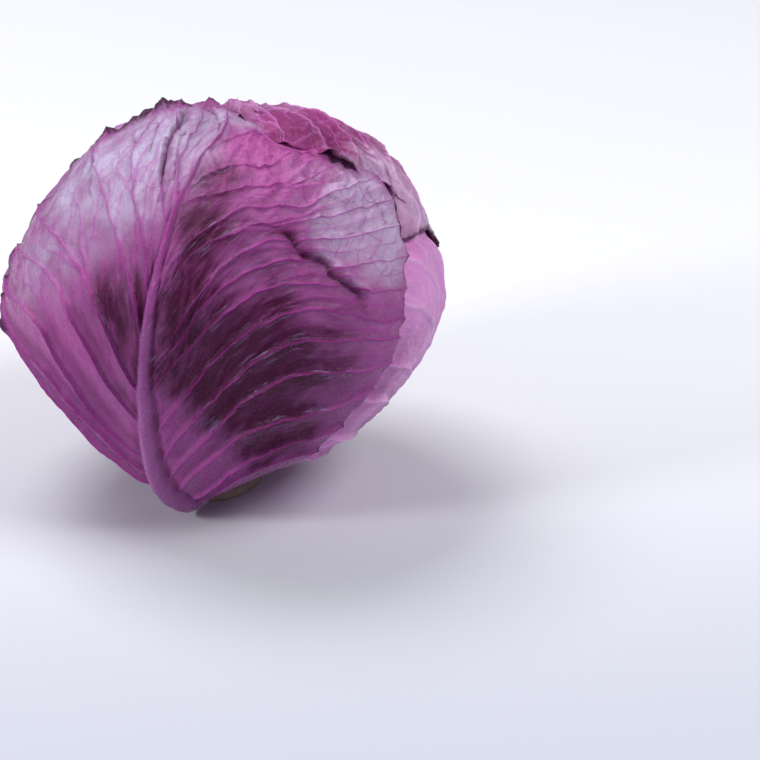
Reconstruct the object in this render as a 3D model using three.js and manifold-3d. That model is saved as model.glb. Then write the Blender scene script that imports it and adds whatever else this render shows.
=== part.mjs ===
// A head of red cabbage, whole, standing on the cut end of its stem.
// Units are millimetres, +Z up. The origin is the centre of the flat cut face of the stem,
// -Y is the front of the head, and +X is its right-hand side.
//
// The head is built as it grows: a tapering stem runs up the middle, and every leaf is a thin
// curved shell of its own that springs from the side of the stem and wraps over the leaves inside it.
// Six large wrapper leaves make the outside, twelve closer leaves lie inside them,
// and the smallest, still folded leaves make one tight heart round the tip of the stem.
import * as THREE from "three";
import { mergeVertices } from "three/addons/utils/BufferGeometryUtils.js";
import Module from "manifold-3d";

// ---- driving dimensions, in mm and degrees -------------------------------------------------
const CENTRE = [5, 1, 75]; // middle of the head above the floor
const LEAN = 25; // the widest outline of the head is tilted this far from upright
const DEPTH_FRONT = 84; // half depth of the head to the front
const DEPTH_BACK = 82; // half depth of the head to the back
const STEM_FOOT_Z = 7; // height at which the lowest leaf meets the stem
const STEM_RADIUS = 19; // radius of the cut end of the stem
const STEM_TOP = 84; // height of the growing tip
const STEM_GAP = 0.35; // clearance between the stem and a leaf's foot
const WRAP_THICK = 1.95; // thickness of a wrapper leaf
const WRAP_PITCH = 2.6; // from one wrapper leaf's outer face to the next
const INNER_COUNT = 12; // leaves between the wrappers and the heart
const INNER_FILL = 0.84; // share of the room for one inner leaf that the leaf itself takes up
const HEART_CENTRE = [1, 0, 86];
const HEART_RADIUS = [29, 28, 27];
const WRAP_NET = 5, WRAP_SEGS = 30; // fineness of a wrapper leaf's faces and of its margin
const INNER_NET = 3, INNER_SEGS = 16; // the same for an inner leaf

// Outline radii of the head in its leaning outline plane, every 10 degrees from +X upwards.
const OUTLINE = [85.3, 85.9, 86.5, 86.3, 86.4, 85.3, 83.1, 79.8, 78.1, 77.4, 77.5, 77.9, 78.3, 78.3, 78.2, 78.6, 80.0, 82.1,
  83.4, 82.2, 79.0, 76.4, 75.3, 74.8, 74.3, 75.2, 76.4, 73.6, 70.7, 69.4, 70.0, 72.3, 75.4, 78.4, 81.0, 83.3];

const rad = (a) => (a * Math.PI) / 180, deg = (a) => (a * 180) / Math.PI;
const smooth = (a, b, x) => { const t = Math.min(1, Math.max(0, (x - a) / (b - a))); return t * t * (3 - 2 * t); };
const smoothMin = (a, b, k) => { const h = Math.min(1, Math.max(0, 0.5 + (0.5 * (b - a)) / k)); return b * (1 - h) + a * h - k * h * (1 - h); };
function periodic(tab, x) {
  const n = tab.length, i = Math.floor(x), t = x - i;
  const [p0, p1, p2, p3] = [-1, 0, 1, 2].map((k) => tab[(((i + k) % n) + n) % n]);
  return 0.5 * (2 * p1 + (-p0 + p2) * t + (2 * p0 - 5 * p1 + 4 * p2 - p3) * t * t + (-p0 + 3 * p1 - 3 * p2 + p3) * t * t * t);
}

// ---- the shape of the whole head ------------------------------------------------------------
const el = rad(LEAN);
const AXIS_N = new THREE.Vector3(0, -Math.cos(el), Math.sin(el)), AXIS_U = new THREE.Vector3(0, Math.sin(el), Math.cos(el));
const NOSE_AZ = Math.atan2(-31.5, -7.7); // the front leaf's stalk bulges towards this side

// Height of the underside of the head, a shallow bowl that rises from the stem.
function underside(x, y) {
  const s = smooth(10, 80, Math.hypot(x, y));
  x -= CENTRE[0] * s; y -= CENTRE[1] * s;
  const rho = Math.hypot(x, y);
  let da = Math.atan2(y, x) - NOSE_AZ;
  da = ((((da + Math.PI) % (2 * Math.PI)) + 2 * Math.PI) % (2 * Math.PI)) - Math.PI;
  const g = Math.exp(-((da / rad(38)) ** 2));
  return STEM_FOOT_Z + 0.0137 * Math.max(0, rho - 16) ** 2 * (1 - g) + g * (-4.2 * smooth(14, 30, rho) + 0.05 * Math.max(0, rho - 33) ** 2);
}

// Distance from the centre of the head to its surface in the direction d.
function headRadius(d) {
  const a = d.x, b = d.dot(AXIS_U), c = d.dot(AXIS_N);
  const rim = periodic(OUTLINE, ((deg(Math.atan2(b, a)) + 360) % 360) / 10);
  const r1 = 1 / Math.sqrt((Math.hypot(a, b) / rim) ** 2 + (c / (c > 0 ? DEPTH_FRONT : DEPTH_BACK)) ** 2);
  let lo = 5, hi = 130;
  for (let i = 0; i < 28; i++) {
    const m = (lo + hi) / 2;
    if (CENTRE[2] + m * d.z < underside(CENTRE[0] + m * d.x, CENTRE[1] + m * d.y)) hi = m; else lo = m;
  }
  return smoothMin(r1, lo, 7);
}

// ---- leaves -----------------------------------------------------------------------------------
// A leaf is drawn flat, in degrees of arc round its own middle: x to the right and y up, seen from outside.
function leafFrame(azimuth, elevation) {
  const a = rad(azimuth), e = rad(elevation);
  const c = new THREE.Vector3(Math.cos(e) * Math.cos(a), Math.cos(e) * Math.sin(a), Math.sin(e));
  const u = new THREE.Vector3(-Math.sin(e) * Math.cos(a), -Math.sin(e) * Math.sin(a), Math.cos(e));
  return { c, u, r: new THREE.Vector3().crossVectors(u, c) };
}
function direction(f, x, y) {
  const a = Math.hypot(x, y), h = Math.max(a, 1e-9), s = Math.sin(rad(a));
  return new THREE.Vector3().addScaledVector(f.c, Math.cos(rad(a))).addScaledVector(f.r, (s * x) / h).addScaledVector(f.u, (s * y) / h);
}
// Outline points -> distance of the margin from the leaf's middle, by angle.
function marginOf(points) {
  const p = points.map(([x, y]) => [Math.atan2(y, x), Math.hypot(x, y)]).sort((m, n) => m[0] - n[0]);
  return (t) => {
    t = Math.atan2(Math.sin(t), Math.cos(t));
    let i = p.findIndex((q) => q[0] > t);
    if (i < 0) i = 0;
    const b = p[i], a = p[(i + p.length - 1) % p.length];
    const span = (b[0] - a[0] + 4 * Math.PI) % (2 * Math.PI), at = (t - a[0] + 4 * Math.PI) % (2 * Math.PI);
    return a[1] + ((b[1] - a[1]) * at) / span;
  };
}

const WRAPPERS = {
  // the outermost leaf, from the back right; its margin folds over the top of the front leaf
  wrapper_leaf_back_right: {
    az: 60, el: 20, layer: -1, colour: 0x93407f,
    outline: [[9, 50], [16, 44], [24, 40], [33, 38], [44, 38], [54, 35], [62, 26], [67, 12], [66, -8], [60, -26], [50, -42], [40, -58], [31, -76], [24, -94], [18, -108], [-18, -108],
      [-25, -92], [-30, -74], [-35, -56], [-41, -38], [-46, -22], [-50, -8], [-53, 5], [-57, 14], [-62, 22], [-67, 27], [-68, 32], [-62, 32], [-57, 33], [-52, 35], [-49, 38], [-49, 47],
      [-47, 54], [-43, 58], [-38, 59], [-36, 63], [-32, 67], [-27, 69], [-18, 67], [-10, 66], [0, 60]],
  },
  // the large front leaf, with its thick midrib
  wrapper_leaf_front: {
    az: -100, el: 5, layer: 0, colour: 0x7c3d78,
    outline: [[-24, -74], [-34, -62], [-48, -50], [-62, -34], [-72, -16], [-77, 4], [-81, 20], [-79, 36], [-72, 58], [-63, 75], [-53, 84], [-40, 94], [-24, 101], [-8, 105],
      [8, 103], [24, 98], [38, 88], [54, 74], [66, 58], [69, 44], [69, 30], [66, 18], [63, 4], [58, -12], [51, -28], [42, -44], [32, -57], [24, -70], [20, -92], [-22, -92]],
  },
  wrapper_leaf_left: {
    az: 172, el: 12, layer: 1, colour: 0x81477f,
    outline: [[0, 80], [22, 78], [40, 70], [54, 58], [63, 42], [68, 22], [68, 2], [63, -18], [54, -38], [42, -56], [32, -74], [22, -100], [-22, -100], [-30, -76], [-38, -58], [-50, -38],
      [-61, -18], [-66, 2], [-66, 22], [-60, 42], [-50, 58], [-36, 70], [-20, 77]],
  },
  wrapper_leaf_right: {
    az: -22, el: -5, layer: 1, colour: 0xa4508f,
    outline: [[0, 70], [22, 68], [42, 60], [58, 46], [69, 28], [73, 8], [70, -12], [60, -30], [46, -46], [34, -62], [24, -82], [-24, -82], [-32, -64], [-42, -48], [-54, -32], [-64, -14],
      [-70, 4], [-71, 22], [-64, 38], [-50, 52], [-36, 62], [-18, 68]],
  },
  wrapper_leaf_back: {
    az: 115, el: 0, layer: 2, colour: 0x8a4480,
    outline: [[0, 84], [26, 80], [46, 70], [60, 54], [69, 34], [72, 12], [69, -10], [59, -32], [46, -50], [34, -66], [24, -86], [-24, -86], [-34, -66], [-48, -50], [-62, -32], [-70, -10],
      [-72, 12], [-69, 34], [-60, 54], [-46, 70], [-26, 80]],
  },
  wrapper_leaf_left_under: {
    az: 216, el: -2, layer: 3, colour: 0x9a4a8a,
    outline: [[0, 84], [26, 80], [46, 70], [60, 54], [69, 34], [72, 12], [70, -10], [62, -32], [48, -50], [34, -64], [24, -84], [-24, -84], [-34, -64], [-48, -50], [-62, -32], [-70, -10],
      [-72, 12], [-69, 34], [-60, 54], [-46, 70], [-26, 80]],
  },
};
// an inner leaf is cupped further round the head than a wrapper
const INNER_OUTLINE = [[0, 130], [38, 124], [72, 108], [98, 80], [113, 48], [118, 12], [110, -20], [90, -48], [62, -68], [38, -86], [22, -108], [-22, -108], [-38, -86], [-62, -68], [-90, -48],
  [-110, -20], [-118, 12], [-113, 48], [-98, 80], [-72, 108], [-38, 124]];

const centre = new THREE.Vector3(...CENTRE), heartCentre = new THREE.Vector3(...HEART_CENTRE);
const outer = WRAPPERS.wrapper_leaf_back_right, outerFrame = leafFrame(outer.az, outer.el), outerMargin = marginOf(outer.outline);
// How far the leaves under the outermost one are pressed in, 0 away from it and one pitch under it.
function pressedIn(d) {
  const x = d.dot(outerFrame.r), y = d.dot(outerFrame.u), a = deg(Math.atan2(Math.hypot(x, y), d.dot(outerFrame.c)));
  return WRAP_PITCH * (1 - smooth(1.05, 1.35, a / outerMargin(Math.atan2(y, x))));
}
function wrapperPoint(layer, inset) {
  return (d) => centre.clone().addScaledVector(d, headRadius(d) - (layer < 0 ? 0 : pressedIn(d) + layer * WRAP_PITCH) - inset);
}
function heartRadius(d) {
  return 1 / Math.hypot(d.x / HEART_RADIUS[0], d.y / HEART_RADIUS[1], d.z / HEART_RADIUS[2]);
}
// The room between the wrappers and the heart is one nest of surfaces, from level 0 outside to INNER_COUNT at the heart.
function innerCentre(level) {
  return centre.clone().lerp(heartCentre, level / INNER_COUNT);
}
function innerPoint(level) {
  return (d) => {
    const outside = headRadius(d) - 5 * WRAP_PITCH;
    return innerCentre(level).addScaledVector(d, outside + ((heartRadius(d) - outside) * level) / INNER_COUNT);
  };
}

// Every leaf is cut from a shell whose two faces stand on one shared net of directions, so neighbouring leaves stay parallel.
const nets = new Map();
function net(detail) {
  if (!nets.has(detail)) {
    const g = new THREE.IcosahedronGeometry(1, detail);
    g.deleteAttribute("normal").deleteAttribute("uv");
    nets.set(detail, mergeVertices(g, 1e-5));
  }
  return nets.get(detail);
}
function surfaceGeometry(detail, at) {
  const g = net(detail), p = g.getAttribute("position"), v = [];
  for (let i = 0; i < p.count; i++) v.push(...at(new THREE.Vector3().fromBufferAttribute(p, i).normalize()).toArray());
  return new THREE.BufferGeometry().setAttribute("position", new THREE.Float32BufferAttribute(v, 3)).setIndex(g.index.clone());
}
// The solid cone that a leaf's outline makes with the middle of its shell.
function outlineCone(apex, frame, margin, rings, segs) {
  const v = [...apex.toArray()], idx = [], reach = 170;
  const put = (x, y) => v.push(...apex.clone().addScaledVector(direction(frame, x, y), reach).toArray());
  put(0, 0);
  for (let i = 1; i <= rings; i++)
    for (let j = 0; j < segs; j++) {
      const t = (j / segs) * 2 * Math.PI, r = (margin(t) * i) / rings;
      put(r * Math.cos(t), r * Math.sin(t));
    }
  const P = (i, j) => (i === 0 ? 1 : 2 + (i - 1) * segs + (j % segs));
  for (let j = 0; j < segs; j++) {
    idx.push(P(0, 0), P(1, j), P(1, j + 1));
    for (let i = 1; i < rings; i++) idx.push(P(i, j), P(i + 1, j), P(i + 1, j + 1), P(i, j), P(i + 1, j + 1), P(i, j + 1));
    idx.push(P(rings, j), 0, P(rings, j + 1));
  }
  return new THREE.BufferGeometry().setAttribute("position", new THREE.Float32BufferAttribute(v, 3)).setIndex(idx);
}

// ---- the stem -----------------------------------------------------------------------------------
// Height and radius pairs; the section has five shallow lobes where the lowest leaves sprang from it.
const STEM_PROFILE = [[0, STEM_RADIUS], [5, STEM_RADIUS - 0.4], [12, 18], [24, 17.2], [38, 16], [52, 14.2], [64, 11.6], [74, 8], [81, 4]];
const STEM_SEGS = 24;
function stemGeometry(grow) {
  const v = [0, 0, grow > 0 ? -grow : 0], idx = [], n = STEM_PROFILE.length;
  STEM_PROFILE.forEach(([z, r], i) => {
    for (let j = 0; j < STEM_SEGS; j++) {
      const t = (j / STEM_SEGS) * 2 * Math.PI;
      const rr = (r + grow) * (1 + 0.025 * (1 - i / n) * Math.cos(5 * t + 0.4));
      v.push(rr * Math.cos(t), rr * Math.sin(t), i === 0 && grow > 0 ? -grow : z);
    }
  });
  v.push(0, 0, STEM_TOP + grow);
  const top = v.length / 3 - 1, P = (i, j) => 1 + i * STEM_SEGS + (j % STEM_SEGS);
  for (let j = 0; j < STEM_SEGS; j++) {
    idx.push(0, P(0, j + 1), P(0, j));
    for (let i = 0; i < n - 1; i++) idx.push(P(i, j), P(i, j + 1), P(i + 1, j + 1), P(i, j), P(i + 1, j + 1), P(i + 1, j));
    idx.push(P(n - 1, j), P(n - 1, j + 1), top);
  }
  return new THREE.BufferGeometry().setAttribute("position", new THREE.Float32BufferAttribute(v, 3)).setIndex(idx);
}

// ---- joining and cutting --------------------------------------------------------------------------
const wasm = await Module();
wasm.setup();
function toSolid(geometry) {
  const g = new THREE.BufferGeometry().setAttribute("position", geometry.getAttribute("position").clone());
  if (geometry.index) g.setIndex(geometry.index.clone());
  const m = mergeVertices(g, 1e-4);
  return new wasm.Manifold(new wasm.Mesh({ numProp: 3, vertProperties: new Float32Array(m.getAttribute("position").array), triVerts: new Uint32Array(m.index.array) }));
}
function toGeometry(solid) {
  const biggest = solid.decompose().sort((a, b) => b.volume() - a.volume())[0];
  const m = biggest.getMesh(), n = m.numProp, v = new Float32Array(m.numVert * 3);
  for (let i = 0; i < m.numVert; i++) v.set(m.vertProperties.subarray(i * n, i * n + 3), i * 3);
  const g = new THREE.BufferGeometry().setAttribute("position", new THREE.BufferAttribute(v, 3)).setIndex(new THREE.BufferAttribute(new Uint32Array(m.triVerts), 1));
  g.computeVertexNormals();
  return g;
}
const stemCutter = toSolid(stemGeometry(STEM_GAP));
function leafShell(apex, leaf, detail, segs, outside, inside) {
  const shell = toSolid(surfaceGeometry(detail, outside)).subtract(toSolid(surfaceGeometry(detail, inside)));
  const cone = toSolid(outlineCone(apex, leafFrame(leaf.az, leaf.el), marginOf(leaf.outline), 6, segs));
  return toGeometry(shell.intersect(cone).subtract(stemCutter));
}

// ---- assembly ---------------------------------------------------------------------------------------
const head = new THREE.Group();
head.name = "red_cabbage";
function piece(name, geometry, colour, roughness) {
  const mesh = new THREE.Mesh(geometry, new THREE.MeshStandardMaterial({ color: colour, roughness, metalness: 0 }));
  mesh.name = name;
  head.add(mesh);
}

const stem = stemGeometry(0);
stem.computeVertexNormals();
piece("stem", stem, 0xd9d3b4, 0.6);

for (const [name, leaf] of Object.entries(WRAPPERS))
  piece(name, leafShell(centre, leaf, WRAP_NET, WRAP_SEGS, wrapperPoint(leaf.layer, 0), wrapperPoint(leaf.layer, WRAP_THICK)), leaf.colour, 0.45);
for (let k = 0; k < INNER_COUNT; k++) {
  const leaf = { az: -60 + k * 137.5, el: 18, outline: INNER_OUTLINE };
  const colour = new THREE.Color(0x8f3f80).lerp(new THREE.Color(0xcbb0c4), k / INNER_COUNT).getHex();
  piece("inner_leaf_" + String(k + 1).padStart(2, "0"), leafShell(innerCentre(k), leaf, INNER_NET, INNER_SEGS, innerPoint(k), innerPoint(k + INNER_FILL)), colour, 0.5);
}

const heart = new THREE.SphereGeometry(1, 18, 12);
heart.scale(...HEART_RADIUS.map((r) => r - 1.6)).translate(...HEART_CENTRE);
heart.deleteAttribute("normal").deleteAttribute("uv");
piece("heart", toGeometry(toSolid(heart).subtract(stemCutter)), 0xd8c3d0, 0.5);

export default head;
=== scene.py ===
# Looks of a whole head of red cabbage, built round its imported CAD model.
# Lengths inside the leaf code are millimetres; leaves are drawn flat in degrees of arc round their own middle.
import math

import bpy
import numpy as np
from mathutils import Matrix, Vector


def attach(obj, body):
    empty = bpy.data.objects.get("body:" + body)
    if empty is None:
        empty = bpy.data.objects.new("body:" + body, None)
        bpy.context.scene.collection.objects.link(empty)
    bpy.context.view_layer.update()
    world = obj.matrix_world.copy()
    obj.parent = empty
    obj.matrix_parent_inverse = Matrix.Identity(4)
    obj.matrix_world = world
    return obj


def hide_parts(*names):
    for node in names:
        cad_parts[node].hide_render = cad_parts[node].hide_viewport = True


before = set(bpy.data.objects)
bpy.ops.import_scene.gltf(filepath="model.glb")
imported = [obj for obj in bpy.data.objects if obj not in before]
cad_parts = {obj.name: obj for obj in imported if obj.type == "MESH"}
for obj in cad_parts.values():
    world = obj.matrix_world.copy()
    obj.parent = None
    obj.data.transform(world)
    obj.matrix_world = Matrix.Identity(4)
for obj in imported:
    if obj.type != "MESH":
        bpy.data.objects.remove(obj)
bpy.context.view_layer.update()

K = 1.4  # mm on the surface per degree of arc

# ------------------------------------------------------------------ the head as a whole
CENTRE = np.array([5.0, 1.0, 75.0])
LEAN = math.radians(25.0)
DEPTH_FRONT, DEPTH_BACK = 84.0, 82.0
STEM_FOOT_Z = 7.0
OUTLINE = np.array([85.3, 85.9, 86.5, 86.3, 86.4, 85.3, 83.1, 79.8, 78.1, 77.4, 77.5, 77.9, 78.3, 78.3, 78.2, 78.6, 80.0, 82.1,
                    83.4, 82.2, 79.0, 76.4, 75.3, 74.8, 74.3, 75.2, 76.4, 73.6, 70.7, 69.4, 70.0, 72.3, 75.4, 78.4, 81.0, 83.3])
AXIS_N = np.array([0, -math.cos(LEAN), math.sin(LEAN)])
AXIS_U = np.array([0, math.sin(LEAN), math.cos(LEAN)])
NOSE_AZ = math.atan2(-31.5, -7.7)


def smooth(a, b, x):
    t = np.clip((x - a) / (b - a), 0, 1)
    return t * t * (3 - 2 * t)


def periodic(tab, x):
    n = len(tab)
    i = np.floor(x).astype(int)
    t = x - i
    p0, p1, p2, p3 = [tab[(i + k) % n] for k in (-1, 0, 1, 2)]
    return 0.5 * (2 * p1 + (-p0 + p2) * t + (2 * p0 - 5 * p1 + 4 * p2 - p3) * t * t + (-p0 + 3 * p1 - 3 * p2 + p3) * t ** 3)


def underside(x, y):
    s = smooth(10, 80, np.hypot(x, y))
    x = x - CENTRE[0] * s
    y = y - CENTRE[1] * s
    rho = np.hypot(x, y)
    da = (np.arctan2(y, x) - NOSE_AZ + math.pi) % (2 * math.pi) - math.pi
    g = np.exp(-((da / math.radians(38)) ** 2))
    return STEM_FOOT_Z + 0.0137 * np.maximum(0, rho - 16) ** 2 * (1 - g) + g * (-4.2 * smooth(14, 30, rho) + 0.05 * np.maximum(0, rho - 33) ** 2)


def head_radius(d):
    """Distance in mm from the middle of the head to its surface along the unit directions d."""
    a, b, c = d[:, 0], d @ AXIS_U, d @ AXIS_N
    rim = periodic(OUTLINE, (np.degrees(np.arctan2(b, a)) % 360) / 10)
    r1 = 1 / np.sqrt((np.hypot(a, b) / rim) ** 2 + (c / np.where(c > 0, DEPTH_FRONT, DEPTH_BACK)) ** 2)
    lo, hi = np.full(len(d), 5.0), np.full(len(d), 130.0)
    for _ in range(24):
        m = (lo + hi) / 2
        below = CENTRE[2] + m * d[:, 2] < underside(CENTRE[0] + m * d[:, 0], CENTRE[1] + m * d[:, 1])
        hi = np.where(below, m, hi)
        lo = np.where(below, lo, m)
    k = 7.0
    h = np.clip(0.5 + 0.5 * (lo - r1) / k, 0, 1)
    return lo * (1 - h) + r1 * h - k * h * (1 - h)


def leaf_frame(az, el):
    a, e = math.radians(az), math.radians(el)
    c = np.array([math.cos(e) * math.cos(a), math.cos(e) * math.sin(a), math.sin(e)])
    u = np.array([-math.sin(e) * math.cos(a), -math.sin(e) * math.sin(a), math.cos(e)])
    return c, np.cross(u, c), u


def to_dir(fr, x, y):
    c, r, u = fr
    a = np.maximum(np.hypot(x, y), 1e-9)
    s = np.sin(np.radians(a)) / a
    return np.cos(np.radians(a))[:, None] * c + (s * x)[:, None] * r + (s * y)[:, None] * u


def to_flat(fr, d):
    c, r, u = fr
    x, y, z = d @ r, d @ u, d @ c
    a = np.degrees(np.arctan2(np.hypot(x, y), z))
    h = np.maximum(np.hypot(x, y), 1e-9)
    return np.stack([a * x / h, a * y / h], -1)


# ------------------------------------------------------------------ noise, the same on every run
def _hash(ix, iy, seed):
    h = (ix.astype(np.int64) * 374761393 + iy.astype(np.int64) * 668265263 + seed * 1442695041) & 0xFFFFFFFF
    h = ((h ^ (h >> 13)) * 1274126177) & 0xFFFFFFFF
    return (h ^ (h >> 16)) & 0xFFFFFFFF


def noise(x, y, seed=0):
    """Smooth gradient noise, about -1 to 1, one feature per unit."""
    ix, iy = np.floor(x), np.floor(y)
    fx, fy = x - ix, y - iy
    out = 0
    sx, sy = fx ** 3 * (fx * (fx * 6 - 15) + 10), fy ** 3 * (fy * (fy * 6 - 15) + 10)
    for dx in (0, 1):
        for dy in (0, 1):
            a = _hash(ix + dx, iy + dy, seed) / 4294967296.0 * 2 * math.pi
            g = np.cos(a) * (fx - dx) + np.sin(a) * (fy - dy)
            out = out + g * (sx if dx else 1 - sx) * (sy if dy else 1 - sy)
    return out * 1.5


def fbm(x, y, seed=0, octaves=3, gain=0.5):
    out, amp = 0, 1.0
    for k in range(octaves):
        out = out + amp * noise(x * 2 ** k, y * 2 ** k, seed + 17 * k)
        amp *= gain
    return out


def cells(x, y, size, seed):
    """Irregular cells of about one size: how far inside its cell a point lies, the offset from the cell's centre, and two numbers of the cell, -1 to 1."""
    k = 0.8 * size
    gx, gy = x / size + 0.22 * noise(x / k, y / k, seed + 1), y / size + 0.22 * noise(x / k, y / k, seed + 2)
    ix, iy = np.floor(gx), np.floor(gy)
    f1, f2 = np.full(x.shape, 9.0), np.full(x.shape, 9.0)
    ox, oy, ha, hb = (np.zeros(x.shape) for _ in range(4))
    for a in (-1, 0, 1):
        for b in (-1, 0, 1):
            r = [_hash(ix + a, iy + b, seed + s) / 4294967296.0 * 2 - 1 for s in (3, 7, 13, 19)]
            dx, dy = gx - (ix + a + 0.5 + 0.42 * r[0]), gy - (iy + b + 0.5 + 0.42 * r[1])
            d = np.hypot(dx, dy)
            near = d < f1
            f2 = np.where(near, f1, np.minimum(f2, d))
            ox, oy, ha, hb = np.where(near, dx, ox), np.where(near, dy, oy), np.where(near, r[2], ha), np.where(near, r[3], hb)
            f1 = np.where(near, d, f1)
    return (f2 - f1) * size * 0.5, ox * size, oy * size, ha, hb


def facets(x, y, size, seed, tilt=0.1, line=0.2):
    """Crumpled panels, each tilted its own way, between fine raised lines, in mm, and the lines themselves."""
    e, ox, oy, ha, hb = cells(x, y, size, seed)
    lines = np.exp(-(e / 0.42) ** 2)
    return tilt * (ha * ox + hb * oy) * smooth(0, 0.16 * size, e) + line * lines, lines


def blob(x, y, cx, cy, sx, sy, turn=0.0):
    t = math.radians(turn)
    dx, dy = x - cx, y - cy
    a, b = dx * math.cos(t) + dy * math.sin(t), -dx * math.sin(t) + dy * math.cos(t)
    return np.exp(-((a / sx) ** 2 + (b / sy) ** 2))


# ------------------------------------------------------------------ lines
def curve(points, n=None, rounded=True):
    """n points evenly spaced along a smooth line through the given points."""
    p = np.array(points, float)
    if rounded and len(p) > 2:
        e = np.vstack([2 * p[0] - p[1], p, 2 * p[-1] - p[-2]])
        out = []
        for i in range(len(p) - 1):
            q = e[i:i + 4]
            t = np.concatenate([[0], np.cumsum(np.maximum(np.linalg.norm(np.diff(q, axis=0), axis=1), 1e-6) ** 0.5)])
            s = np.linspace(t[1], t[2], 16, endpoint=False)[:, None]
            a1 = ((t[1] - s) * q[0] + (s - t[0]) * q[1]) / (t[1] - t[0])
            a2 = ((t[2] - s) * q[1] + (s - t[1]) * q[2]) / (t[2] - t[1])
            a3 = ((t[3] - s) * q[2] + (s - t[2]) * q[3]) / (t[3] - t[2])
            b1 = ((t[2] - s) * a1 + (s - t[0]) * a2) / (t[2] - t[0])
            b2 = ((t[3] - s) * a2 + (s - t[1]) * a3) / (t[3] - t[1])
            out.append(((t[2] - s) * b1 + (s - t[1]) * b2) / (t[2] - t[1]))
        p = np.vstack(out + [p[-1:]])
    return resample(p, n) if n else p


def resample(p, at):
    """Points along the polyline p: at is a count, or fractions of its length."""
    if np.isscalar(at):
        at = np.linspace(0, 1, at)
    s = np.concatenate([[0], np.cumsum(np.linalg.norm(np.diff(p, axis=0), axis=1))])
    return np.stack([np.interp(np.asarray(at) * s[-1], s, p[:, k]) for k in range(2)], -1)


def nearest_on(p, q):
    """Fraction of the length of the polyline p that lies nearest the point q."""
    a, b = p[:-1], p[1:]
    v = b - a
    t = np.clip(((q - a) * v).sum(1) / np.maximum((v * v).sum(1), 1e-12), 0, 1)
    d = np.linalg.norm(a + v * t[:, None] - q, axis=1)
    i = int(d.argmin())
    s = np.concatenate([[0], np.cumsum(np.linalg.norm(v, axis=1))])
    return (s[i] + t[i] * (s[i + 1] - s[i])) / s[-1]


def line_field(pts, lines):
    """For every point the smallest distance over width to any line, the tallest ridge, and which line and where along it.
    lines is a list of (polyline, widths at its points, heights at its points); widths and heights in mm, points in degrees."""
    A = np.vstack([l[0][:-1] for l in lines]) * K
    B = np.vstack([l[0][1:] for l in lines]) * K
    W = np.vstack([np.stack([l[1][:-1], l[1][1:]], -1) for l in lines])
    H = np.vstack([np.stack([l[2][:-1], l[2][1:]], -1) for l in lines])
    V = B - A
    VV = np.maximum((V * V).sum(1), 1e-9)
    n = len(pts)
    q, ridge = np.full(n, 99.0), np.zeros(n)
    P = pts * K
    for s in range(0, n, 3000):
        p = P[s:s + 3000, None, :]
        t = np.clip(((p - A) * V).sum(-1) / VV, 0, 1)
        dist = np.sqrt((((A + V * t[..., None]) - p) ** 2).sum(-1))
        w = W[:, 0] + (W[:, 1] - W[:, 0]) * t
        h = H[:, 0] + (H[:, 1] - H[:, 0]) * t
        r = dist / w
        q[s:s + 3000] = r.min(1)
        prof = 0.55 * np.exp(-(r * 1.15) ** 2) + 0.45 * np.maximum(0, 1 - (r * 0.8) ** 2) ** 1.5
        ridge[s:s + 3000] = (h * prof).max(1)
    return q, ridge


def polar_margin(outline):
    p = np.array(outline, float)
    a, r = np.arctan2(p[:, 1], p[:, 0]), np.hypot(p[:, 0], p[:, 1])
    o = np.argsort(a)
    a, r = a[o], r[o]
    a = np.concatenate([a[-1:] - 2 * math.pi, a, a[:1] + 2 * math.pi])
    r = np.concatenate([r[-1:], r, r[:1]])
    return lambda t: np.interp(t, a, r)


# ------------------------------------------------------------------ one leaf
def columns(n):
    c = np.linspace(0, 1, 2001)
    w = 1 + 1.3 * np.exp(-c / 0.07) + 1.0 * np.exp(-(1 - c) / 0.035)
    s = np.concatenate([[0], np.cumsum((w[1:] + w[:-1]) / 2)])
    return np.interp(np.linspace(0, 1, n), s / s[-1], c)


def ragged(p, seed, amount, scale, step=0.8):
    """The margin p with small waves and nicks, in degrees, even steps apart."""
    n = max(8, int(np.linalg.norm(np.diff(p, axis=0), axis=1).sum() / step))
    q = resample(p, n)
    d = np.gradient(q, axis=0)
    nrm = np.stack([-d[:, 1], d[:, 0]], -1) / np.maximum(np.hypot(d[:, 0], d[:, 1]), 1e-6)[:, None]
    s = np.arange(n) * step
    w = noise(s / scale, s * 0, seed) + 0.5 * noise(s / (0.37 * scale), s * 0, seed + 5)
    fade = smooth(0, 12, s) * smooth(0, 4, s[-1] - s)
    return q + nrm * (w * amount * fade)[:, None]


def wander(g, cols, seed):
    """A side vein wavers a little on its way out, but not where it joins the midrib or the margin."""
    t = np.gradient(g, axis=0)
    t = t / np.maximum(np.linalg.norm(t, axis=1, keepdims=True), 1e-9)
    run = np.concatenate([[0], np.cumsum(np.linalg.norm(np.diff(g, axis=0), axis=1))])
    w = 0.75 * noise(run / 8.0, 0 * run + 3.7 * seed, 500 + seed) + 0.4 * noise(run / 3.6, 0 * run + 1.9 * seed, 540 + seed)
    w = w * smooth(0.10, 0.45, cols) * smooth(1.0, 0.88, cols)
    return g + np.stack([-t[:, 1], t[:, 0]], -1) * w[:, None]


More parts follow.
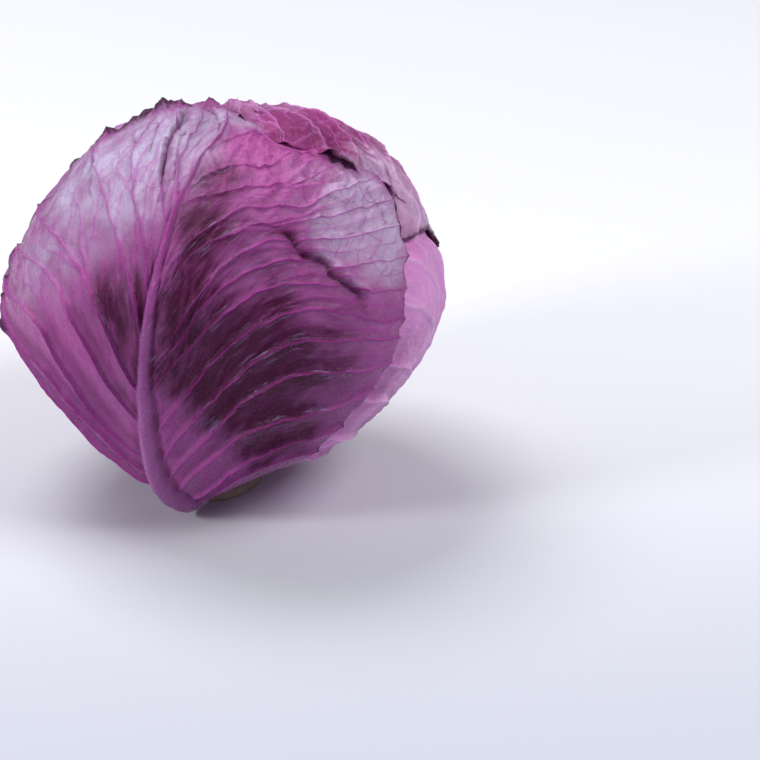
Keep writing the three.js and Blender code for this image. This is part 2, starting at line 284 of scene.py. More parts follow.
class Leaf:
    """A leaf as rows that run along its veins from midrib to margin, left and right of the midrib."""

    def __init__(self, name, az, el, mid, tip, left, right, margin_left, margin_right, phi, spread=50.0, level=0.0, nc=100, rows=(400, 400), seed=1):
        self.name, self.fr, self.seed, self.level = name, leaf_frame(az, el), seed, level
        ring = lambda a: to_flat(self.fr, unit(np.array([[17.4 * math.cos(math.radians(t)), 17.4 * math.sin(math.radians(t)), 8.0 + level] for t in a]) - CENTRE))
        foot = ring([phi])[0]
        self.mid = curve([foot] + list(mid), 500)
        self.tip = curve(tip)
        self.sides = []
        for sign, veins, margin, m in ((-1, left, margin_left, rows[0]), (1, right, margin_right, rows[1])):
            base = ring(np.linspace(phi, phi + sign * spread, 14))
            edge = np.vstack([base[-1:], np.array(margin, float), self.tip[-1:]])
            self.sides.append(self._rows(sign, base, [curve(v) for v in veins], edge, nc, m))

    def _rows(self, sign, base, veins, edge, nc, nrows):
        cols = columns(nc)
        mid = self.mid
        s = [0.0] + [nearest_on(mid, v[0]) for v in veins] + [1.0]
        e = [0.0] + [nearest_on(edge, v[-1]) for v in veins] + [1.0]
        s, e = np.maximum.accumulate(s), np.maximum.accumulate(e)
        G = [resample(g, cols) for g in [base] + veins + [self.tip]]
        G[1:-1] = [wander(g, cols, self.seed + 3 * k + (sign > 0)) for k, g in enumerate(G[1:-1])]
        start, end = lambda k: resample(mid, np.atleast_1d(k))[0], lambda k: resample(edge, np.atleast_1d(k))[0]
        fix0, fix1 = ((1 - cols) ** 3)[:, None], (cols ** 2)[:, None]
        tangent = lambda k: resample(mid, np.array([min(k + 0.004, 1.0)]))[0] - resample(mid, np.array([max(k - 0.004, 0.0)]))[0]
        space = [float(np.linalg.norm(G[i + 1] - G[i], axis=1)[nc // 4:].mean()) + 0.4 for i in range(len(G) - 1)]
        P, U, I, S = [], [], [], []
        for i in range(len(G) - 1):
            m = max(6, int(round(nrows * space[i] / sum(space))))
            for k in range(m):
                t = k / m
                u = t - 0.62 * math.sin(2 * math.pi * t) / (2 * math.pi)
                p = (1 - u) * G[i] + u * G[i + 1]
                sk, ek = s[i] + u * (s[i + 1] - s[i]), e[i] + u * (e[i + 1] - e[i])
                a = start(sk)
                tv = tangent(sk)
                tv = tv / max(np.hypot(*tv), 1e-9)
                a = a + sign * 0.1 * np.array([tv[1], -tv[0]]) * min(1.0, (1 - sk) / 0.02)
                p = p + fix0 * (a - p[0]) + fix1 * (end(ek) - p[-1])
                P.append(p), U.append(u), I.append(i), S.append(sk)
        P.append(G[-1] + fix1 * (end(1.0) - G[-1][-1]))
        U.append(1.0), I.append(len(G) - 2), S.append(1.0)
        P, U, I = np.array(P), np.array(U), np.array(I)
        first = [int(np.argmax(I == i)) for i in range(len(G) - 1)] + [len(P) - 1]
        gap = np.zeros(P.shape[:2])
        for i in range(len(G) - 1):
            g = np.linalg.norm(P[first[i + 1]] - P[first[i]], axis=1) * K
            gap[(I == i)] = g
        return dict(P=P, u=U, i=I, s=np.array(S), c=cols, first=first, gap=gap, edge=edge, sign=sign)

    # fields over the leaf -----------------------------------------------------------------------
    def fields(self, vein_h, vein_w, rib_h, rib_w, cross=0.3, cross_step=11.0, fork=True, soft=0.7):
        """Ridges of the midrib, the side veins and the small veins that cross between them, in mm."""
        rng = np.random.default_rng(self.seed)
        for sd in self.sides:
            P, U, I, C, first = sd["P"], sd["u"], sd["i"], sd["c"], sd["first"]
            nr, nc = P.shape[:2]
            q, ridge, cr, cq = np.full((nr, nc), 99.0), np.zeros((nr, nc)), np.zeros((nr, nc)), np.full((nr, nc), 99.0)
            nv = len(first) - 2
            pick = np.unique(np.linspace(0, nc - 1, 46).astype(int))
            lines = []
            for k in range(1, nv + 1):
                along = C[pick]
                base = sd["s"][first[k]]
                w = (vein_w[0] + (vein_w[1] - vein_w[0]) * along ** 0.7) * (1.15 - 0.35 * base)
                h = (vein_h[0] + (vein_h[1] - vein_h[0]) * along ** 0.6) * (1.2 - 0.5 * base) * (1 - soft * (1 - smooth(0.0, 0.22, along)))
                lines.append((P[first[k]][pick], w, h))
            for i in range(nv + 1):
                r = np.where(I == i)[0]
                if i == nv:
                    r = np.append(r, nr - 1) if r[-1] != nr - 1 else r
                pts = P[r].reshape(-1, 2)
                near = [lines[k] for k in range(max(0, i - 2), min(nv, i + 2))]
                if near:
                    a, b = line_field(pts, near)
                    q[r], ridge[r] = a.reshape(len(r), nc), b.reshape(len(r), nc)
                # small veins across the strip, in its own coordinates
                lo, hi = P[first[i]], P[first[i + 1]]
                g = np.linalg.norm(hi - lo, axis=1) * K
                length = np.concatenate([[0], np.cumsum(np.linalg.norm(np.diff((lo + hi) / 2, axis=0), axis=1))]) * K
                small, at = [], rng.uniform(3, cross_step)
                while at < length[-1] - 2:
                    c0 = float(np.interp(at, length, C))
                    gm = float(np.interp(at, length, g))
                    if gm > 3.5:
                        n = 9
                        uu = np.linspace(0, 1, n)
                        lean = rng.uniform(0.15, 0.75) * gm / length[-1]
                        wob = np.cumsum(rng.normal(0, 0.10, n)) * gm / length[-1]
                        cc = np.clip(c0 + lean * (uu - 0.3) + wob - wob[0], 0, 1)
                        pa = np.stack([np.interp(cc, C, lo[:, k]) for k in (0, 1)], -1)
                        pb = np.stack([np.interp(cc, C, hi[:, k]) for k in (0, 1)], -1)
                        p = pa + (pb - pa) * uu[:, None]
                        if rng.random() < 0.35:
                            p = p[: rng.integers(5, n)]
                        ww = rng.uniform(0.5, 0.8)
                        small.append((p, np.full(len(p), ww), np.full(len(p), cross * rng.uniform(0.5, 1.2))))
                    at += cross_step * rng.uniform(0.55, 1.35)
                if fork and g[-1] > 5:
                    n = 12
                    a0 = rng.uniform(0.25, 0.5)
                    uu = np.concatenate([np.linspace(0.0, 0.5, 5), np.full(n - 5, 0.5)]) + rng.normal(0, 0.02, n)
                    if rng.random() < 0.5:
                        uu = 1 - uu
                    cc = np.linspace(a0, 0.985, n)
                    pa = np.stack([np.interp(cc, C, lo[:, k]) for k in (0, 1)], -1)
                    pb = np.stack([np.interp(cc, C, hi[:, k]) for k in (0, 1)], -1)
                    small.append((pa + (pb - pa) * uu[:, None], np.linspace(0.95, 0.5, n), np.linspace(cross * 1.6, cross * 0.7, n)))
                if small:
                    a, b = line_field(pts, small)
                    cq[r], cr[r] = a.reshape(len(r), nc), b.reshape(len(r), nc)
            mline = np.vstack([self.mid[::6], self.tip])
            L = np.concatenate([[0], np.cumsum(np.linalg.norm(np.diff(mline, axis=0), axis=1))])
            L = L / L[-1]
            w, h = np.interp(L, *rib_w), np.interp(L, *rib_h)
            sd["mq"], sd["rib"] = [a.reshape(nr, nc) for a in line_field(P.reshape(-1, 2), [(mline, w, h)])]
            sd["q"], sd["ridge"], sd["cq"], sd["cross"] = q, ridge, cq, cr
            e = resample(sd["edge"], 240) * K
            cut = int(np.searchsorted(C, 0.6))
            q = P[:, cut:].reshape(-1, 2) * K
            near = np.concatenate([np.sqrt(((q[k:k + 4000, None, 0] - e[:, 0]) ** 2 + (q[k:k + 4000, None, 1] - e[:, 1]) ** 2).min(1)) for k in range(0, len(q), 4000)])
            sd["rim"] = np.hstack([np.full((nr, cut), 60.0), near.reshape(nr, nc - cut)])
            sd["x"], sd["y"] = P[..., 0], P[..., 1]


def unit(v):
    return v / np.linalg.norm(v, axis=-1, keepdims=True)


def zipper(a, pa, b, pb, flip):
    """Triangles between two lines of vertices, numbered a and b, with rising parameters pa and pb."""
    out, i, j = [], 0, 0
    while i < len(a) - 1 or j < len(b) - 1:
        if j == len(b) - 1 or (i < len(a) - 1 and pa[i + 1] <= pb[j + 1]):
            t = (a[i], a[i + 1], b[j])
            i += 1
        else:
            t = (a[i], b[j + 1], b[j])
            j += 1
        if len(set(t)) == 3:
            out.append(t[::-1] if flip else t)
    return out


def inside(poly, p):
    """Signed distance in degrees from the points p to a closed outline, above 0 inside it."""
    a = np.asarray(poly, float)
    b = np.roll(a, -1, axis=0)
    out = np.empty(len(p))
    for s in range(0, len(p), 6000):
        q = p[s:s + 6000, None, :]
        v, w = b - a, q - a
        t = np.clip((w * v).sum(-1) / np.maximum((v * v).sum(-1), 1e-9), 0, 1)
        d = np.sqrt(((w - v * t[..., None]) ** 2).sum(-1)).min(1)
        up = (a[:, 1] > q[..., 1]) != (b[:, 1] > q[..., 1])
        xc = (b[:, 0] - a[:, 0]) * (q[..., 1] - a[:, 1]) / np.where(np.abs(b[:, 1] - a[:, 1]) < 1e-9, 1e-9, b[:, 1] - a[:, 1]) + a[:, 0]
        odd = ((up & (q[..., 0] < xc)).sum(-1) % 2) == 1
        out[s:s + 6000] = np.where(odd, d, -d)
    return out


COVERS = {}  # leaf name -> (frame, outline) of each wrapper, for the leaves under it


def covers(leaf, sd, above):
    """Signed distance in degrees inside each leaf that lies above this one."""
    if "above" not in sd:
        d = to_dir(leaf.fr, sd["x"].ravel(), sd["y"].ravel())
        sd["above"] = [inside(COVERS[n][1], to_flat(COVERS[n][0], d)) for n in above]
    return sd["above"]


def pressed_in(leaf, sd, above, pitch=3.3, reach=6.5):
    """How far in mm the leaves lying above press this one in."""
    out = sum((pitch * smooth(-reach, 0.5, k) for k in covers(leaf, sd, above)), np.zeros(sd["x"].size))
    return 10.5 * np.tanh(out / 10.5)


def build_leaf(leaf, above, relief, looks, thick=(2.2, 0.95), material=None, node=None, inner_cols=13):
    """The leaf as one closed mesh; relief and looks are functions of its fields."""
    verts, faces, uvs = [], [], []
    attrs = {k: [] for k in ("q", "mq", "cq", "clear", "netw", "fold", "rim", "dark", "bloom", "pink")}
    flat, strip = [], []
    count = 0
    outer_first, outer_last, inner_first, inner_last = [], [], [], []
    tip_outer = tip_inner = None
    for sd in leaf.sides:
        P = sd["P"]
        nr, nc = P.shape[:2]
        h = relief(leaf, sd)
        lk = looks(leaf, sd)
        d = to_dir(leaf.fr, P[..., 0].ravel(), P[..., 1].ravel())
        R = head_radius(d) - pressed_in(leaf, sd, above)
        near_base = np.exp(-((sd["s"][:, None] + 0 * P[..., 0]) / 0.10) ** 2).ravel()
        outer = CENTRE + d * (R + h.ravel())[:, None]
        ids = np.arange(nr * nc).reshape(nr, nc) + count
        flip = sd["sign"] > 0
        if tip_outer is not None:
            ids[-1] = tip_outer
            # the tip line is shared with the other side
        tip_outer = ids[-1].copy()
        keep = np.ones((nr, nc), bool)
        if sd is not leaf.sides[0]:
            keep[-1] = False
            ids[:-1] = (np.arange((nr - 1) * nc) + count).reshape(nr - 1, nc)
        kf = keep.ravel()
        verts.append(outer[kf])
        flat.append(np.stack([P[..., 0].ravel() * K, P[..., 1].ravel() * K, np.full(nr * nc, float(leaf.seed) * 37.0)], -1)[kf])
        along = (sd["c"][None, :] * 80.0 + sd["i"][:, None] * 31.0 + (170.0 if flip else 0.0)) + 0 * P[..., 0]
        u = sd["u"][:, None]
        st = np.stack([along, u * sd["gap"], (1 - u) * sd["gap"]], -1)
        strip.append(st.reshape(-1, 3)[kf])
        for k in ("q", "mq", "cq"):
            lk[k] = np.minimum(sd[k], 4.0)
        for k, v in (("clear", 1.0), ("netw", 0.15), ("fold", 3.0)):
            lk.setdefault(k, v)
        lk.setdefault("rim", sd["rim"])
        for k in attrs:
            attrs[k].append(np.broadcast_to(lk.get(k, 0.0), (nr, nc)).ravel()[kf])
        count += int(kf.sum())
        A, B, Cc, D = ids[:-1, :-1], ids[:-1, 1:], ids[1:, 1:], ids[1:, :-1]
        # at the left side columns run leftwards and rows upwards
        q = np.stack([A, B, Cc, D] if flip else [A, D, Cc, B], -1).reshape(-1, 4)
        faces.append(("outer", q))
        # inner face on the same rows and fewer columns
        pick = np.unique(np.concatenate([np.linspace(0, nc - 1, inner_cols).astype(int)]))
        hmin = h.copy()
        w = max(2, nc // inner_cols)
        for sft in range(1, w + 1):
            hmin[:, sft:] = np.minimum(hmin[:, sft:], h[:, :-sft])
            hmin[:, :-sft] = np.minimum(hmin[:, :-sft], h[:, sft:])
        hi = hmin[:, pick]
        hi[:, -1] = h[:, -1]
        Pi = P[:, pick]
        di = to_dir(leaf.fr, Pi[..., 0].ravel(), Pi[..., 1].ravel())
        th = thick[1] + (thick[0] - thick[1]) * near_base.reshape(nr, nc)[:, pick]
        th = th * (0.75 + 0.25 * smooth(0, 6, sd["rim"][:, pick]))
        ni = len(pick)
        inner = CENTRE + di * (R.reshape(nr, nc)[:, pick].ravel() + hi.ravel() - th.ravel())[:, None]
        idi = np.arange(nr * ni).reshape(nr, ni) + count
        keepi = np.ones((nr, ni), bool)
        if tip_inner is not None:
            keepi[-1] = False
            idi[:-1] = (np.arange((nr - 1) * ni) + count).reshape(nr - 1, ni)
            idi[-1] = tip_inner
        tip_inner = idi[-1].copy()
        kfi = keepi.ravel()
        verts.append(inner[kfi])
        flat.append(np.stack([Pi[..., 0].ravel() * K, Pi[..., 1].ravel() * K, np.full(nr * ni, float(leaf.seed) * 37.0)], -1)[kfi])
        strip.append(st[:, pick].reshape(-1, 3)[kfi])
        for k in attrs:
            attrs[k].append(np.broadcast_to(lk.get(k, 0.0), (nr, nc))[:, pick].ravel()[kfi])
        count += int(kfi.sum())
        A, B, Cc, D = idi[:-1, :-1], idi[:-1, 1:], idi[1:, 1:], idi[1:, :-1]
        q = np.stack([A, D, Cc, B] if flip else [A, B, Cc, D], -1).reshape(-1, 4)
        faces.append(("inner", q))
        # the margin
        a, b = ids[:, -1], idi[:, -1]
        q = np.stack([a[:-1], b[:-1], b[1:], a[1:]] if flip else [a[:-1], a[1:], b[1:], b[:-1]], -1)
        faces.append(("wall", q))
        # the foot, in the stem
        faces.append(("wall3", np.array(zipper(list(ids[0]), list(sd["c"]), list(idi[0]), list(sd["c"][pick]), not flip))))
        outer_first.append((ids[:, 0], sd["s"]))
        inner_first.append((idi[:, 0], sd["s"]))
    (a, pa), (b, pb) = outer_first
    faces.append(("outer3", np.array(zipper(list(a), list(pa), list(b), list(pb), True))))
    (a, pa), (b, pb) = inner_first
    faces.append(("inner3", np.array(zipper(list(a), list(pa), list(b), list(pb), False))))
    # the little gap at the foot between the two sides of the midrib
    (oa, _), (ob, _) = outer_first
    (ia, _), (ib, _) = inner_first
    faces.append(("wall", np.array([[oa[0], ob[0], ib[0], ia[0]]])))
    V = np.vstack(verts) / 1000.0
    F = np.vstack(flat)
    loops, starts, totals, uv = [], [], [], []
    n = walls = 0
    span = np.abs(F[:, :2]).max() * 1.01
    for kind, f in faces:
        if len(f) == 0:
            continue
        k = f.shape[1]
        loops.append(f.ravel())
        starts.append(n + np.arange(len(f)) * k)
        totals.append(np.full(len(f), k))
        n += f.size
        xy = F[f.ravel(), :2]
        if kind.startswith("outer"):
            uv.append(0.02 + 0.86 * (xy / span * 0.5 + 0.5))
        elif kind.startswith("inner"):
            uv.append(np.array([0.905, 0.905]) + 0.085 * (xy / span * 0.5 + 0.5))
        elif kind == "wall3":
            g = np.linspace(0.02, 0.86, len(f) + 1)
            off = 0.905 + 0.012 * walls
            walls += 1
            uv.append(np.stack([np.tile([off, off + 0.008, off + 0.004], len(f)), np.stack([g[:-1], g[:-1], g[1:]], -1).ravel()], -1))
        else:
            g = np.linspace(0.02, 0.86, len(f) + 1)
            u0, u1 = g[:-1], g[1:]
            off = 0.905 + 0.012 * walls
            walls += 1
            uv.append(np.stack([np.tile([off, off + 0.008, off + 0.008, off], len(f)), np.stack([u0, u0, u1, u1], -1).ravel()], -1))
    loops, starts, totals, uv = np.concatenate(loops), np.concatenate(starts), np.concatenate(totals), np.vstack(uv)
    me = bpy.data.meshes.new(leaf.name)
    me.vertices.add(len(V))
    me.vertices.foreach_set("co", V.astype(np.float32).ravel())
    me.loops.add(len(loops))
    me.loops.foreach_set("vertex_index", loops.astype(np.int32))
    me.polygons.add(len(starts))
    me.polygons.foreach_set("loop_start", starts.astype(np.int32))
    me.polygons.foreach_set("loop_total", totals.astype(np.int32))
    me.update(calc_edges=True)
    me.polygons.foreach_set("use_smooth", np.ones(len(starts), bool))
    layer = me.uv_layers.new(name="OFBake")
    layer.data.foreach_set("uv", uv.astype(np.float32).ravel())
    for k, v in attrs.items():
        at = me.attributes.new(k, "FLOAT", "POINT")
        at.data.foreach_set("value", np.concatenate(v).astype(np.float32))
    for k, v in (("flat", F), ("strip", np.vstack(strip))):
        at = me.attributes.new(k, "FLOAT_VECTOR", "POINT")
        at.data.foreach_set("vector", v.astype(np.float32).ravel())
    if material:
        me.materials.append(material)
    ob = bpy.data.objects.new(leaf.name, me)
    bpy.context.scene.collection.objects.link(ob)
    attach(ob, "root")
    if node:
        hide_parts(node)
    return ob


# ------------------------------------------------------------------ the six wrapper leaves, drawn flat
def auto_veins(mid, margin, n, sign, seed, lift=24.0, first=0.07, last=0.95):
    """Side veins for one half of a leaf that bow upwards from the midrib to the margin."""
    rng = np.random.default_rng(seed)
    m, e = curve(mid, 300), np.array(margin, float)
    out = []
    for k in range(n):
        t = (k + 0.5) / n
        a = resample(m, np.array([first + (last - first) * t ** 1.15 + rng.uniform(-0.008, 0.008)]))[0]
        b = resample(e, np.array([0.08 + 0.88 * t ** 0.92 + rng.uniform(-0.008, 0.008)]))[0]
        v = b - a
        ang = -sign * math.radians(-lift + rng.uniform(-4, 4))
        w = np.array([v[0] * math.cos(ang) - v[1] * math.sin(ang), v[0] * math.sin(ang) + v[1] * math.cos(ang)])
        c1, c2 = a + 0.34 * w, a + 0.74 * (0.55 * w + 0.45 * v)
        s = np.linspace(0, 1, 12)[:, None]
        p = (1 - s) ** 3 * a + 3 * (1 - s) ** 2 * s * c1 + 3 * (1 - s) * s * s * c2 + s ** 3 * b
        wob = rng.normal(0, 0.5, 12) * np.sin(math.pi * s[:, 0])
        p[:, 0] += wob
        out.append(p)
    return out


F_MID = [(-5, -81), (-7, -74), (-9.8, -65.5), (-12.8, -59), (-14.8, -50), (-15.7, -41.4), (-16.0, -27.7), (-15.4, -18), (-14.6, -8.4), (-11.6, 7.8), (-9.1, 17.9), (-8.1, 25.5), (-6.8, 34.6), (-5.5, 42.6), (-4.0, 48.8), (-2.0, 56.5), (0.6, 64.8), (4.3, 71.5)]
F_TIP = [(4.3, 71.5), (5.2, 78), (4.2, 84), (2.6, 92), (1.1, 100)]
F_LEFT = [[(-13.2, -61.5), (-22, -56), (-32, -49.5), (-44, -40), (-55, -28), (-65, -14), (-72, -2)],
          [(-16.6, -52), (-19.6, -49), (-31.4, -37.2), (-43.2, -23.8), (-54.9, -9.4), (-62.1, -3.7), (-70, 2), (-77, 6)],
          [(-18.2, -43.5), (-20.3, -40.6), (-34.8, -25.8), (-42.5, -4.2), (-46.1, 7.5), (-56.7, 10.4), (-68.3, 9.4), (-79, 12)],
          [(-18.5, -27), (-19.2, -25.2), (-27.2, -6.9), (-31.3, 7.6), (-37.7, 19.4), (-52, 24.2), (-69.7, 23.3), (-80, 24)],
          [(-17.6, -16), (-17.9, -12.3), (-21.4, 1), (-24.3, 14.5), (-28.8, 22.5), (-35.3, 27.9), (-43.7, 33.1), (-69.9, 39.3), (-78, 42)],
          [(-13.6, 3.5), (-13.3, 7.8), (-13.8, 19.9), (-18, 29.1), (-22.4, 36.1), (-26.8, 43.4), (-34.4, 52.8), (-45.4, 63), (-49.3, 73.4), (-55, 81.1)],
          [(-10.2, 17), (-10.3, 20.2), (-12.1, 31.2), (-15.6, 40.4), (-20.6, 51.8), (-25.2, 64.4), (-26, 78.2), (-32.9, 97.2)],
          [(-7.3, 36.5), (-7.2, 38.4), (-10.8, 50.5), (-12.4, 63), (-13, 74), (-17.5, 88), (-22.6, 101.6)],
          [(-5.7, 45.3), (-5.7, 47), (-6.5, 52.3), (-7.7, 60.8), (-6.9, 66.7), (-5.7, 80.4), (-8.5, 93), (-10, 105)]]
F_RIGHT = [[(-8.2, -72.5), (-4.1, -64), (2, -56.5), (9, -50), (17.2, -44.8), (31.2, -41.8), (43, -44)],
           [(-10.2, -67), (-3.4, -56.7), (5.9, -47.5), (14.1, -39.4), (24.6, -34), (37.7, -31.9), (50, -30)],
           [(-13, -61.5), (-6.3, -48.4), (3.4, -36.5), (13.4, -26.5), (24.8, -19.9), (37, -17.8), (47.3, -16.5), (57, -14)],
           [(-15.9, -54.5), (-8, -40), (1.6, -28.4), (9.5, -18.5), (17.8, -9.1), (22.1, -4.9), (28.2, -1.2), (35.8, -0.6), (48, -3), (60.5, -4)],
           [(-17.6, -45.5), (-9, -30.5), (-1, -19.8), (6.4, -10), (13.6, -1.4), (18.1, 3.9), (23.5, 7.4), (30.4, 9.8), (42, 8.5), (62.6, 4)],
           [(-18.5, -32), (-11, -20.9), (-0.7, -6.6), (6.7, 3.7), (13.2, 10.3), (18.1, 14.5), (24.1, 16.7), (30.9, 18.3), (35.6, 17.6), (44.5, 15.4), (54, 11.4), (64, 10)],
           [(-17, -12.5), (-9, -2.5), (0.9, 8.7), (5.2, 13.6), (9.8, 17.7), (16.2, 22), (22.3, 24.4), (29.3, 24.9), (37.3, 24.1), (54.2, 20.4), (66, 19)],
           [(-15.6, -5), (-8, 3), (-1.8, 10.5), (3.9, 18.6), (8.1, 23.4), (12.5, 25.7), (16.8, 28.5), (21.5, 30.5), (27.6, 31.2), (34.4, 30.4), (42.6, 28.2), (50.9, 28.6), (68.5, 28.6)],
           [(-14.2, 1), (-5.4, 9.7), (-0.8, 16.7), (2.1, 21), (6.4, 26.6), (10.8, 30.8), (15.9, 33.9), (19.8, 35.4), (26.4, 36.5), (40, 36.5), (54, 37.5), (69, 40)],
           [(-11.2, 13.5), (-5.3, 23), (-2.8, 27.2), (0, 31.9), (4.2, 35.2), (11.2, 37.8), (15.7, 40), (24.4, 40.9), (34, 42), (48, 45), (68.5, 49)],
           [(-9.4, 22.5), (-5.6, 28.6), (-3.9, 30.9), (-0.3, 35.6), (3.8, 38.9), (8.4, 42.4), (13, 44.8), (19.6, 45.8), (27.8, 45.9), (33.2, 46.8), (38.6, 48.7), (45.1, 51.7), (55.1, 54.8), (64.5, 60)],
           [(-6.7, 40.8), (-3.4, 46.2), (1.3, 48.4), (5.8, 49.2), (10.3, 50.8), (14.2, 52.2), (22, 52), (30, 54), (40, 58.5), (50, 64), (58, 69)],
           [(-5.3, 47.3), (-2.6, 51.6), (1.8, 55.2), (9.6, 58.6), (14.8, 59.5), (22.2, 59.6), (27.7, 63.4), (38.2, 68.6), (50, 77)],
           [(-0.9, 62), (3, 67), (9, 71), (17, 75), (26, 82), (33, 92)]]
BIG = [(22.0, 40.4), (26.2, 38.9), (28.3, 37.0), (28.9, 34.7), (31.2, 32.8), (35.8, 31.0), (38.0, 29.5), (38.6, 27.3), (42.0, 24.6), (46.2, 21.4), (48.2, 18.8), (49.6, 16.0)]
F_EDGE_L = [(-27, -78), (-34, -64), (-48, -50), (-62, -34), (-72, -16), (-77, 4), (-81, 20), (-79, 36), (-72, 57), (-61.5, 72.5), (-51.5, 80.5), (-38.8, 90), (-23.5, 96.8), (-8, 100.8), (1.1, 100)]
F_EDGE_R = [(28, -78), (32, -66), (36, -55), (43, -43), (51, -28), (58, -12), (63, 4), (65, 18), (66, 30), (69, 44), (66, 58), (54, 74), (38, 88), (24, 96.5), (8, 100.5), (1.1, 100)]

B_MID = [(0, -93), (-1, -70), (-2, -40), (0, -10), (3, 2), (4, 16), (6, 32), (7, 40), (8.3, 46.5)]
B_TIP = [(8.3, 46.5), (9, 50)]
B_LEFT = [[(-0.3, -84), (-8, -74), (-18, -66), (-29, -62), (-33, -64)], [(-1, -71), (-10, -58), (-20, -48), (-30, -43), (-38, -45)],
          [(-1.6, -56), (-12, -38), (-24, -26), (-36, -21), (-46, -22)], [(-2, -36), (-12, -18), (-24, -6), (-38, -2), (-52, 0)],
          [(-1, -18), (-12, 2), (-26, 14), (-42, 18), (-58, 16)], [(3, 1), (-14, 20), (-30, 27), (-43, 32), (-51, 29), (-57, 24), (-66, 27.5)],
          [(4, 14), (-6, 30), (-15, 38), (-25, 37), (-37, 39), (-45, 38.5), (-52, 35.5)], [(5, 24), (-3, 38), (-12, 44.5), (-22, 44), (-34, 47), (-43, 49), (-48, 50.5)],
          [(6, 32), (-2, 45), (-10, 51), (-18, 51), (-30, 54), (-37, 57), (-41, 58.6)], [(7, 39), (1.5, 49), (-6, 57), (-14, 60), (-22, 64), (-29, 68.4)],
          [(7.8, 44), (5, 51), (1, 56), (-4, 63)]]
B_RIGHT = [[(0, -84), (8, -75), (18, -68), (28, -66), (35, -68)], [(-1, -70), (10, -57), (22, -50), (34, -48), (44, -52)],
           [(-1.6, -54), (12, -38), (26, -30), (40, -28), (54, -34)], [(-2, -34), (12, -18), (28, -10), (44, -8), (64, -14)],
           [(-1, -16), (14, 0), (30, 8), (46, 10), (67, 6)], [(3, 2), (16, 16), (30, 22), (46, 24), (63, 24)], [(4, 17), (14, 27), (26, 32), (40, 34), (52, 35.5)],
           [(5.8, 30), (13, 36), (22, 38), (32, 38.2)], [(7, 38), (11, 43), (16.5, 43.6)]]
B_EDGE_L = [(-21, -98), (-25, -92), (-30, -74), (-35, -56), (-41, -38), (-46, -22), (-50, -8), (-53, 5), (-57, 14), (-62, 22), (-67, 27), (-68, 31.5), (-62, 32), (-57, 33), (-52, 35),
            (-49, 38), (-49.8, 43), (-49.2, 47.5), (-46.4, 50), (-47.6, 53.4), (-43.6, 54), (-44.4, 57.6), (-40.6, 57), (-39.6, 60.4), (-36.6, 60.2), (-35.6, 63.6), (-31.6, 66.6), (-27, 69), (-18, 67), (-10, 66), (0, 60), (9, 50)]
B_EDGE_R = [(22, -98), (24, -94), (31, -76), (40, -58), (50, -42), (60, -26), (66, -8), (67, 12), (62, 26), (54, 35), (44, 38), (33, 38), (24, 40), (16, 44), (9, 50)]


OUT_L = [(0, 80), (22, 78), (40, 70), (54, 58), (63, 42), (68, 22), (68, 2), (63, -18), (54, -38), (42, -56), (32, -74), (24, -94), (-24, -94), (-30, -76), (-38, -58), (-50, -38), (-61, -18), (-66, 2), (-66, 22), (-60, 42), (-50, 58), (-36, 70), (-20, 77)]
OUT_R = [(8, 71), (22, 68), (42, 60), (58, 46), (69, 28), (73, 8), (70, -12), (60, -30), (46, -46), (34, -62), (27, -78), (-27, -78), (-32, -64), (-42, -48), (-54, -32), (-64, -14), (-70, 4), (-71, 22), (-64, 38), (-50, 52), (-36, 62), (-18, 69)]
OUT_K = [(0, 84), (26, 80), (46, 70), (60, 54), (69, 34), (72, 12), (69, -10), (59, -32), (46, -50), (34, -66), (27, -82), (-27, -82), (-34, -66), (-48, -50), (-62, -32), (-70, -10), (-72, 12), (-69, 34), (-60, 54), (-46, 70), (-26, 80)]
OUT_U = [(0, 84), (26, 80), (46, 70), (60, 54), (69, 34), (72, 12), (70, -10), (62, -32), (48, -50), (34, -64), (27, -80), (-27, -80), (-34, -64), (-48, -50), (-62, -32), (-70, -10), (-72, 12), (-69, 34), (-60, 54), (-46, 70), (-26, 80)]


def split(outline):
    """(left margin, right margin) from foot to tip of a closed outline that starts at the tip and first runs down the right."""
    n = next(i for i in range(1, len(outline)) if outline[i][0] < 0 and outline[i][1] < -40)
    return outline[n:] + [outline[0]], outline[1:n][::-1] + [outline[0]]


SIZE = 1.0


def n_(k):
    return int(k * SIZE)


def wrapper(name, az, el, mid, tip, edges, phi, level, seed, rows, nc, left=None, right=None, nveins=9, lift=24.0, rag=(0.7, 9.0), spread=50.0):
    el_, er_ = ragged(np.array(edges[0], float), seed, rag[0], rag[1]), ragged(np.array(edges[1], float), seed + 1, rag[0], rag[1])
    left = left or auto_veins(mid, el_, nveins, -1, seed + 2, lift)
    right = right or auto_veins(mid, er_, nveins, 1, seed + 3, lift)
    COVERS[name] = (leaf_frame(az, el), np.vstack([resample(el_, 70), resample(er_, 70)[::-1]]))
    return Leaf(name, az, el, mid, tip, left, right, el_, er_, phi, spread, level, n_(nc), (n_(rows), n_(rows)), seed)


